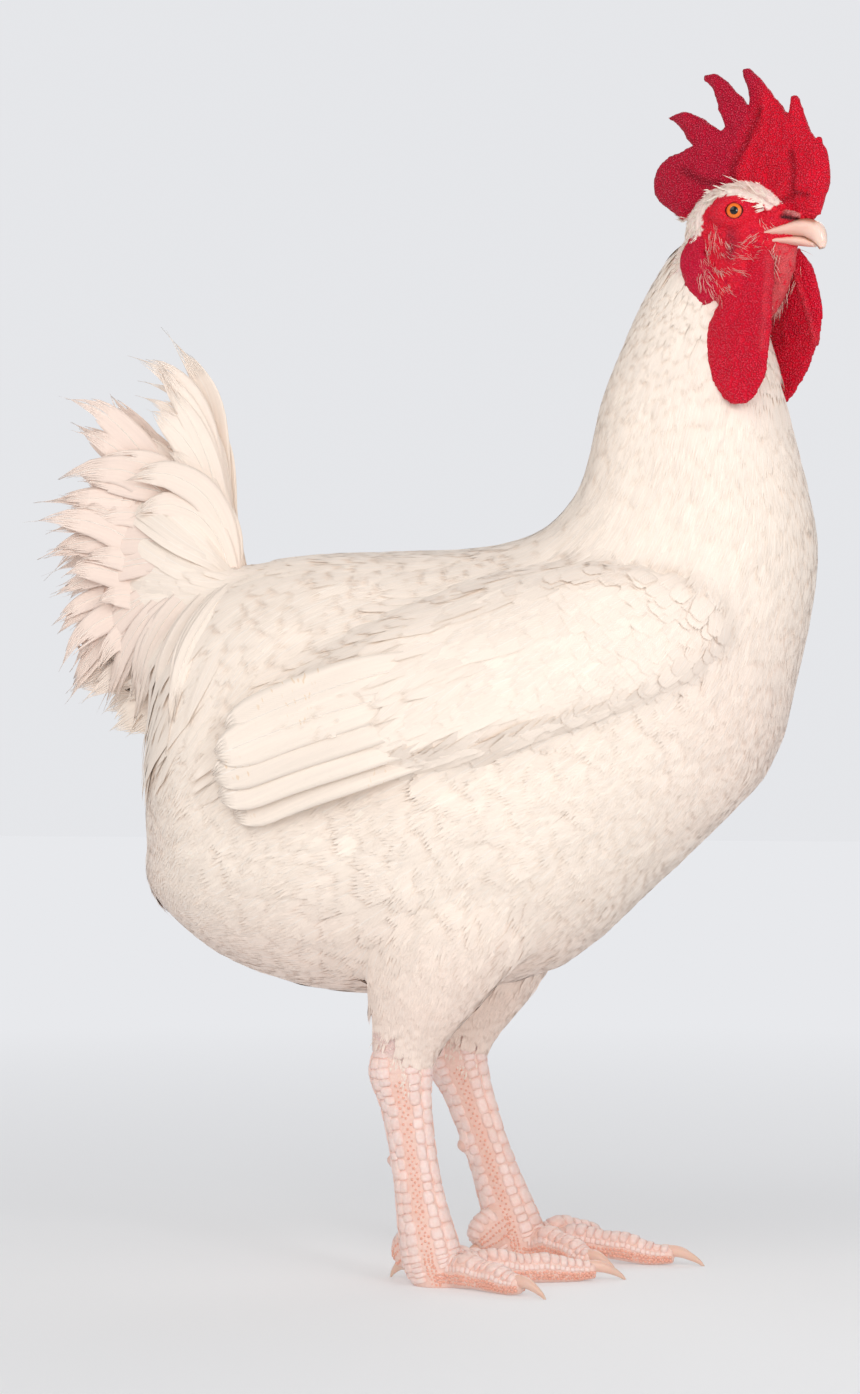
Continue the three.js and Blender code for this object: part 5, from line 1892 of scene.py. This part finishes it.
TAIL_BLADES = [
    # half width, distance from the middle plane at root and tip, then x, z from root to tip
    (8, 5, 4, [[-101, 362], [-111, 400], [-114, 432], [-118, 455], [-127, 472], [-138, 486]]),
    (9, -6, -4, [[-103, 360], [-112, 398], [-118, 430], [-127, 455], [-141, 470], [-157, 477]]),
    (8, -8, -6, [[-100, 364], [-110, 396], [-117, 424], [-126, 446], [-136, 462], [-143, 474]]),
    (10, -9, -10, [[-102, 356], [-109, 390], [-119, 418], [-129, 434], [-139, 444], [-146, 448]]),
    (10, -5, -8, [[-106, 352], [-124, 388], [-144, 416], [-160, 436], [-176, 450], [-190, 455]]),
    (9, 6, 9, [[-106, 354], [-122, 390], [-138, 414], [-154, 436], [-166, 449], [-173, 458]]),
    (10, 10, 14, [[-108, 348], [-128, 380], [-150, 408], [-168, 426], [-182, 436], [-193, 443]]),
    (11, -12, -16, [[-108, 350], [-122, 382], [-138, 404], [-156, 416], [-176, 418], [-196, 412]]),
    (10, -16, -20, [[-102, 362], [-106, 386], [-116, 404], [-132, 414], [-146, 415], [-156, 412]]),
    (10, 14, 19, [[-110, 346], [-130, 372], [-152, 392], [-172, 402], [-188, 402], [-200, 396]]),
    (10, -14, -20, [[-110, 342], [-130, 362], [-152, 378], [-170, 388], [-188, 392], [-204, 391]]),
    (9, 15, 22, [[-112, 338], [-132, 356], [-154, 370], [-174, 378], [-194, 377], [-206, 368]]),
    (10, -16, -23, [[-112, 336], [-132, 350], [-152, 360], [-168, 365], [-180, 366], [-190, 362]]),
    (10, 15, 22, [[-112, 332], [-132, 342], [-152, 350], [-170, 350], [-186, 344], [-197, 336]]),
    (10, -15, -22, [[-112, 330], [-130, 338], [-150, 344], [-168, 340], [-182, 330], [-191, 316]]),
    (10, 12, 18, [[-112, 322], [-128, 328], [-146, 330], [-162, 326], [-176, 316], [-186, 304]]),
    (11, -6, -9, [[-104, 352], [-118, 376], [-134, 392], [-150, 402], [-164, 407], [-178, 411]]),
    (11, 4, 6, [[-104, 346], [-120, 364], [-138, 376], [-156, 384], [-172, 388], [-186, 388]]),
    (13, -8, -12, [[-118, 330], [-132, 326], [-148, 320], [-162, 313], [-176, 307], [-187, 303]]),
    (13, 8, 12, [[-118, 322], [-130, 316], [-144, 309], [-156, 302], [-168, 296], [-177, 291]]),
    (13, -12, -16, [[-116, 312], [-126, 306], [-138, 299], [-149, 292], [-159, 286], [-167, 281]]),
    (10, -10, -15, [[-112, 316], [-128, 320], [-144, 320], [-158, 314], [-170, 306], [-180, 298]]),
]

SADDLE_TIPS = [
    # x, z where the feathers on the tail's side and the longest saddle feathers start, then where they end
    (-110, 396, -186, 409), (-112, 390, -193, 399), (-114, 384, -199, 384), (-116, 378, -200, 368),
    (-118, 372, -198, 352), (-138, 357, -196, 336), (-132, 358, -189, 316), (-126, 359, -180, 304),
    (-120, 359, -172, 301), (-114, 360, -163, 296), (-108, 361, -154, 290), (-102, 362, -144, 286),
    (-96, 363, -134, 285), (-90, 363, -120, 288),
]
TAIL_END = -207  # the x that no tail feather passes
SPINE_POINTS = 16  # along each tail feather


def build_tail():
    """Three layers of blades, two of them swung and drawn in, and the feathers at the tail's sides."""
    rng = np.random.default_rng(SEED + 60)
    feathers = []
    t = np.linspace(0, 1, SPINE_POINTS)
    for half, y_root, y_tip, line, layer in [(*row, layer) for layer in range(3) for row in TAIL_BLADES]:
        flat = smooth_rows(line, t)
        y = np.linspace(y_root, y_tip, SPINE_POINTS)
        if layer:
            tall = flat[-1, 0] > -160 and flat[-1, 1] > 440
            swing = rng.uniform(-1, 3) if tall else rng.uniform(3, 10) * (1 if layer == 1 else -1)
            off = (flat - flat[0]) * rng.uniform(0.7, 0.95)
            c, s = math.cos(math.radians(swing)), math.sin(math.radians(swing))
            flat = flat[0] + off @ np.array([[c, s], [-s, c]])
            y = y + (1.5 if layer == 1 else -2.5) * np.sign(y_root)
            half = half * 0.9
        room = (flat[0, 0] - TAIL_END) / max(flat[0, 0] - flat[:, 0].min(), 1)
        flat = flat[0] + (flat - flat[0]) * min(1, room)
        side = -1.0 if y_root <= 0 else 1.0
        facing = [0.15, side, 0.2 * rng.normal(1, 0.4)]
        feathers.append((np.stack([flat[:, 0], y, flat[:, 1]], 1), facing, half * 0.88))
    for side in (-1, 1):
        for number, row in enumerate(SADDLE_TIPS * 2):
            root = np.array(row[:2]) + rng.normal(0, 2, 2)
            tip = np.array(row[2:]) + rng.normal(0, 4.5, 2)
            line = [root, blend(root, tip, 0.3) + [-5, 4], blend(root, tip, 0.65) + [-6, 4], tip]
            flat = smooth_rows(line, t)
            y = slowly_falling(coat_side(flat[:, 0], flat[:, 1]), 2.2)
            y = y + blend(-5.0, 1.0 + number / 14, smoothstep(t, 0, 0.5))
            half = rng.uniform(4.8, 6.8) + (2 if row[3] > 345 else 0)
            feathers.append((np.stack([flat[:, 0], side * y, flat[:, 1]], 1), [-0.1, side, 0.25], half))
    long_feathers("tail_feathers", feathers, rng, ("tail", "sickle_left", "sickle_right"), "white_plumage",
                  columns=9, rows=14, split=0.72, arch=0.1, ragged=0.22, teeth_rows=3, base=0.6,
                  round_tip=0.5, taper=0.95)


FLIGHTS = [
    # tip x, z, root x, z, half width, from the lowest to the highest, which lies over the rest
    [-84, 239, 20, 270, 11],
    [-91, 248, 26, 281, 12],
    [-94, 258, 30, 293, 12],
    [-93, 269, 30, 305, 12],
    [-88, 281, 28, 318, 12],
]


def coat_side(x, z):
    """How far the coat's surface stands from the middle plane beside a point."""
    cast = coat_surface().tree.ray_cast
    hits = [cast([px, 200, pz], [0, -1, 0])[0] for px, pz in zip(x, z)]
    return np.array([hit[1] if hit is not None else 13.0 for hit in hits])


def slowly_falling(y, step):
    """The same distances, but none falls by more than the step from the one before it."""
    for i in range(1, len(y)):
        y[i] = max(y[i], y[i - 1] - step)
    return y


def build_flights(word, side):
    """The long feathers of the folded wing, each lying over the one below it."""
    rng = np.random.default_rng(SEED + (70 if side < 0 else 71))
    feathers = []
    t = np.linspace(0, 1, 14)
    for order, (tip_x, tip_z, root_x, root_z, half) in enumerate(FLIGHTS):
        x = root_x + (tip_x - root_x) * t
        z = root_z + (tip_z - root_z) * t + 4 * np.sin(math.pi * t)
        y = slowly_falling(np.max([coat_side(x, z + off) for off in (-6, 0, 6)], axis=0), 1.6)
        y = y + blend(-9.0, 0.3 + 0.15 * order, smoothstep(t, 0.0, 0.42))
        feathers.append((np.stack([x, side * y, z], 1), [0.0, side, 0.15], half))
    long_feathers(f"flights_{word}", feathers, rng, (f"flight_feathers_{word}",), columns=8, rows=20,
                  split=0.93, arch=0.04, ragged=0.05, base=0.4, rounded=0.16)


# ---------- the small feathers ----------
COAT_PLAN = [
    # each piece, with its kinds of feather and the share of their roots that grow one
    ("hackle", [("hackle", 1.0)]),
    ("breast_coat", [("breast", 0.6)]),
    ("back_coat", [("back", 0.5), ("saddle", 0.82), ("scapular", 0.35)]),
    ("tail_coat", [("tail", 0.9), ("hanging", 0.35)]),
    ("flank_coat", [("fluff", 0.42)]),
    ("vent_coat", [("vent", 0.8)]),
    ("thigh_coat", [("thigh", 1.2)]),
    ("wing_coat", [("covert", 0.64), ("drape", 0.6)]),
]


def build_coat(share):
    for number, (name, kinds) in enumerate(COAT_PLAN):
        rng = np.random.default_rng(SEED + number)
        batches = [grow_coat(roots_of(kind, keep * share, rng), kind, rng) for kind, keep in kinds]
        if name == "hackle":
            batches.append(grow_coat(roots_of("throat", 0.4, rng), "thigh", rng))
        coat_piece(name, batches)


def build_head_and_hock_coat():
    """Down where the thigh's feathers end, the crown's small feathers and a few wisps before the comb."""
    rng = np.random.default_rng(SEED + 20)
    skin, legs = MADE["head_skin"], MADE["leg_skin"]
    x, y, z = legs.centres.T
    over = z + 1.25 * (x - hock_x(y))
    near = (over > 118) & (over < 150) & (z > 90)
    chance = np.repeat(smoothstep(over[near], 114, 138), 2)
    edge = np.repeat(legs.centres[near], 2, 0) + rng.normal(0, 0.6, (len(chance), 3))
    edge = edge[rng.random(len(edge)) < chance]
    coat_piece("leg_down", [grow_coat(edge, "down", rng, surface=legs)])
    crown = grow_coat(head_roots(rng, 1.6), "crown", rng, crown_lie, skin)
    wisps = grow_coat(head_roots(rng, 5.0, low_x=2, low_z=12), "wisp", rng, crown_lie, skin)
    coat_piece("crown_coat", [crown, wisps])


# ---------- stage ----------
VIEW_AZIMUTH = math.radians(10)
CAMERA_DISTANCE, CAMERA_HEIGHT, CAMERA_ASIDE = 2.0, 0.2985, -0.002
LENS = 99.3
FLOOR_HALF = 6000
BODY_AIM, HEAD_AIM = (0, 0, 0.32), (0.165, 0, 0.53)
LAMPS = [
    # name, place, what it lights, width and height, watts, colour, what it is hidden from
    ("key", (-1.0, -2.1, 2.0), BODY_AIM, (2.0, 1.6), 19.5, (1, 0.98, 0.95), None),
    ("front", (0.3, -2.7, 0.9), BODY_AIM, (1.3, 1.0), 15.5, (1, 1, 1), "visible_glossy"),
    ("catch", (0.5, -0.66, 0.62), HEAD_AIM, (0.12, 0.12), 0.75, (1, 1, 1), "visible_camera"),
    ("fill", (1.9, -1.7, 1.0), BODY_AIM, (1.6, 1.6), 12.5, (1, 1, 1), None),
    ("back", (0.4, 2.0, 1.8), BODY_AIM, (1.6, 1.2), 10, (1, 1, 1), None),
]


def soft_light(name, place, aim, size, power, colour, hidden):
    data = bpy.data.lights.new(name, "AREA")
    data.shape, data.size, data.size_y = "RECTANGLE", size[0], size[1]
    data.energy, data.color = power, colour
    lamp = bpy.data.objects.new(name, data)
    lamp.location = place
    lamp.rotation_euler = (Vector(aim) - Vector(place)).to_track_quat("-Z", "Y").to_euler()
    bpy.context.scene.collection.objects.link(lamp)
    if hidden:
        setattr(lamp, hidden, False)


def build_stage():
    scene = bpy.context.scene
    corners = np.array([[-1, -1, 0], [1, -1, 0], [1, 1, 0], [-1, 1, 0]], float) * FLOOR_HALF - SHIFT
    mesh = mesh_of("floor", corners, [np.array([[0, 1, 2, 3]])])
    new_object("floor", mesh, material_of("studio_floor"))
    world = bpy.data.worlds.new("studio")
    scene.world = world
    world.use_nodes = True
    tree = world.node_tree
    sky = tree.nodes["Background"]
    sky.inputs[0].default_value = (0.96, 0.97, 1.0, 1)
    ray = tree.nodes.new("ShaderNodeLightPath").outputs["Is Camera Ray"]
    tree.links.new(remap(tree, ray, 0.0, 1.0, 0.42, 0.82), sky.inputs[1])
    for lamp in LAMPS:
        soft_light(*lamp)
    right = Vector((math.cos(VIEW_AZIMUTH), math.sin(VIEW_AZIMUTH), 0))
    back = Vector((math.sin(VIEW_AZIMUTH), -math.cos(VIEW_AZIMUTH), 0))
    data = bpy.data.cameras.new("camera")
    data.lens, data.sensor_width, data.sensor_fit = LENS, 36, "AUTO"
    camera = bpy.data.objects.new("camera", data)
    camera.location = back * CAMERA_DISTANCE + right * CAMERA_ASIDE + Vector((0, 0, CAMERA_HEIGHT))
    camera.rotation_euler = (math.pi / 2, 0, VIEW_AZIMUTH)
    scene.collection.objects.link(camera)
    scene.camera = camera
    scene.view_settings.view_transform = "Standard"


# ---------- the add-on ----------
COLOUR = dict(subtype="COLOR", min=0, max=1)


class RoosterSettings(bpy.types.PropertyGroup):
    """Sizes and shares that a user may change before building."""

    plumage_colour: bpy.props.FloatVectorProperty(
        name="Plumage", description="Colour of the body's feathers", default=CREAM, **COLOUR)
    comb_colour: bpy.props.FloatVectorProperty(
        name="Comb", description="Brightest red of comb and wattles", default=SCARLET, **COLOUR)
    scale_colour: bpy.props.FloatVectorProperty(
        name="Leg scales", description="Colour of the scales' tops", default=SCALE_PALE, **COLOUR)
    iris_colour: bpy.props.FloatVectorProperty(
        name="Iris", description="Colour of the iris round the pupil", default=IRIS_ORANGE, **COLOUR)
    iris_radius: bpy.props.FloatProperty(
        name="Iris radius", description="From the pupil's centre to the iris's rim", unit="LENGTH",
        default=IRIS * MM, min=0.0032, max=0.0045)
    pupil_radius: bpy.props.FloatProperty(
        name="Pupil radius", description="Half the pupil's width", unit="LENGTH",
        default=PUPIL * MM, min=0.0015, max=0.0031)
    vane_thickness: bpy.props.FloatProperty(
        name="Vane thickness", description="Thickness of tail and flight feathers", unit="LENGTH",
        default=0.00035, min=0.0001, max=0.001)
    coat_share: bpy.props.FloatProperty(
        name="Coat density", description="Share of the coat's roots that grow a feather", subtype="FACTOR",
        default=1.0, min=0.1, max=1.2)


class RoosterStep:
    bl_options = {"REGISTER", "UNDO"}


class ROOSTER_OT_skin(RoosterStep, bpy.types.Operator):
    """Make the one skin of head, body and legs"""

    bl_idname = "rooster.skin"
    bl_label = "Skin"

    def execute(self, context):
        build_skin()
        return {"FINISHED"}


class ROOSTER_OT_eyes(RoosterStep, bpy.types.Operator):
    """Make both eyeballs"""

    bl_idname = "rooster.eyes"
    bl_label = "Eyes"

    def execute(self, context):
        build_eye("left", 1)
        build_eye("right", -1)
        return {"FINISHED"}


class ROOSTER_OT_beak(RoosterStep, bpy.types.Operator):
    """Make the upper and lower beak"""

    bl_idname = "rooster.beak"
    bl_label = "Beak"

    def execute(self, context):
        build_beak("upper_bill", UPPER_BEAK, "beak_upper")
        build_beak("lower_bill", LOWER_BEAK, "beak_lower")
        return {"FINISHED"}


class ROOSTER_OT_claws(RoosterStep, bpy.types.Operator):
    """Make the eight claws"""

    bl_idname = "rooster.claws"
    bl_label = "Claws"

    def execute(self, context):
        build_claws()
        return {"FINISHED"}


class ROOSTER_OT_scales(RoosterStep, bpy.types.Operator):
    """Lay the scales on shanks and toes"""

    bl_idname = "rooster.scales"
    bl_label = "Leg scales"

    def execute(self, context):
        build_scutes()
        build_papillae()
        return {"FINISHED"}


class ROOSTER_OT_bristles(RoosterStep, bpy.types.Operator):
    """Grow the fine hairs of face and throat"""

    bl_idname = "rooster.bristles"
    bl_label = "Face bristles"

    def execute(self, context):
        build_bristles()
        return {"FINISHED"}


class ROOSTER_OT_coat(RoosterStep, bpy.types.Operator):
    """Grow the small feathers of neck, breast, back, wings, flanks and thighs"""

    bl_idname = "rooster.coat"
    bl_label = "Coat"

    def execute(self, context):
        build_coat(context.scene.rooster.coat_share)
        build_head_and_hock_coat()
        return {"FINISHED"}


class ROOSTER_OT_quills(RoosterStep, bpy.types.Operator):
    """Make the quilled feathers of wings and tail"""

    bl_idname = "rooster.quills"
    bl_label = "Wing and tail quills"

    def execute(self, context):
        build_tail()
        build_flights("left", 1)
        build_flights("right", -1)
        return {"FINISHED"}


class ROOSTER_OT_stage(RoosterStep, bpy.types.Operator):
    """Set up the floor, the lights and the camera"""

    bl_idname = "rooster.stage"
    bl_label = "Stage"

    def execute(self, context):
        build_stage()
        return {"FINISHED"}


STEPS = (ROOSTER_OT_stage, ROOSTER_OT_skin, ROOSTER_OT_eyes, ROOSTER_OT_beak, ROOSTER_OT_claws,
         ROOSTER_OT_scales, ROOSTER_OT_bristles, ROOSTER_OT_coat, ROOSTER_OT_quills)


class ROOSTER_PT_panel(bpy.types.Panel):
    """Lists the steps that build the rooster"""

    bl_label = "Rooster"
    bl_idname = "ROOSTER_PT_panel"
    bl_space_type = "VIEW_3D"
    bl_region_type = "UI"
    bl_category = "Rooster"

    def draw(self, context):
        for name in RoosterSettings.__annotations__:
            self.layout.prop(context.scene.rooster, name)
        for step in STEPS:
            self.layout.operator(step.bl_idname)


CLASSES = (RoosterSettings, *STEPS, ROOSTER_PT_panel)


def register():
    for item in CLASSES:
        bpy.utils.register_class(item)
    bpy.types.Scene.rooster = bpy.props.PointerProperty(type=RoosterSettings)


def unregister():
    del bpy.types.Scene.rooster
    for item in reversed(CLASSES):
        bpy.utils.unregister_class(item)


def main():
    register()
    for step in STEPS:
        group, name = step.bl_idname.split(".")
        getattr(getattr(bpy.ops, group), name)()


if __name__ == "__main__":
    main()
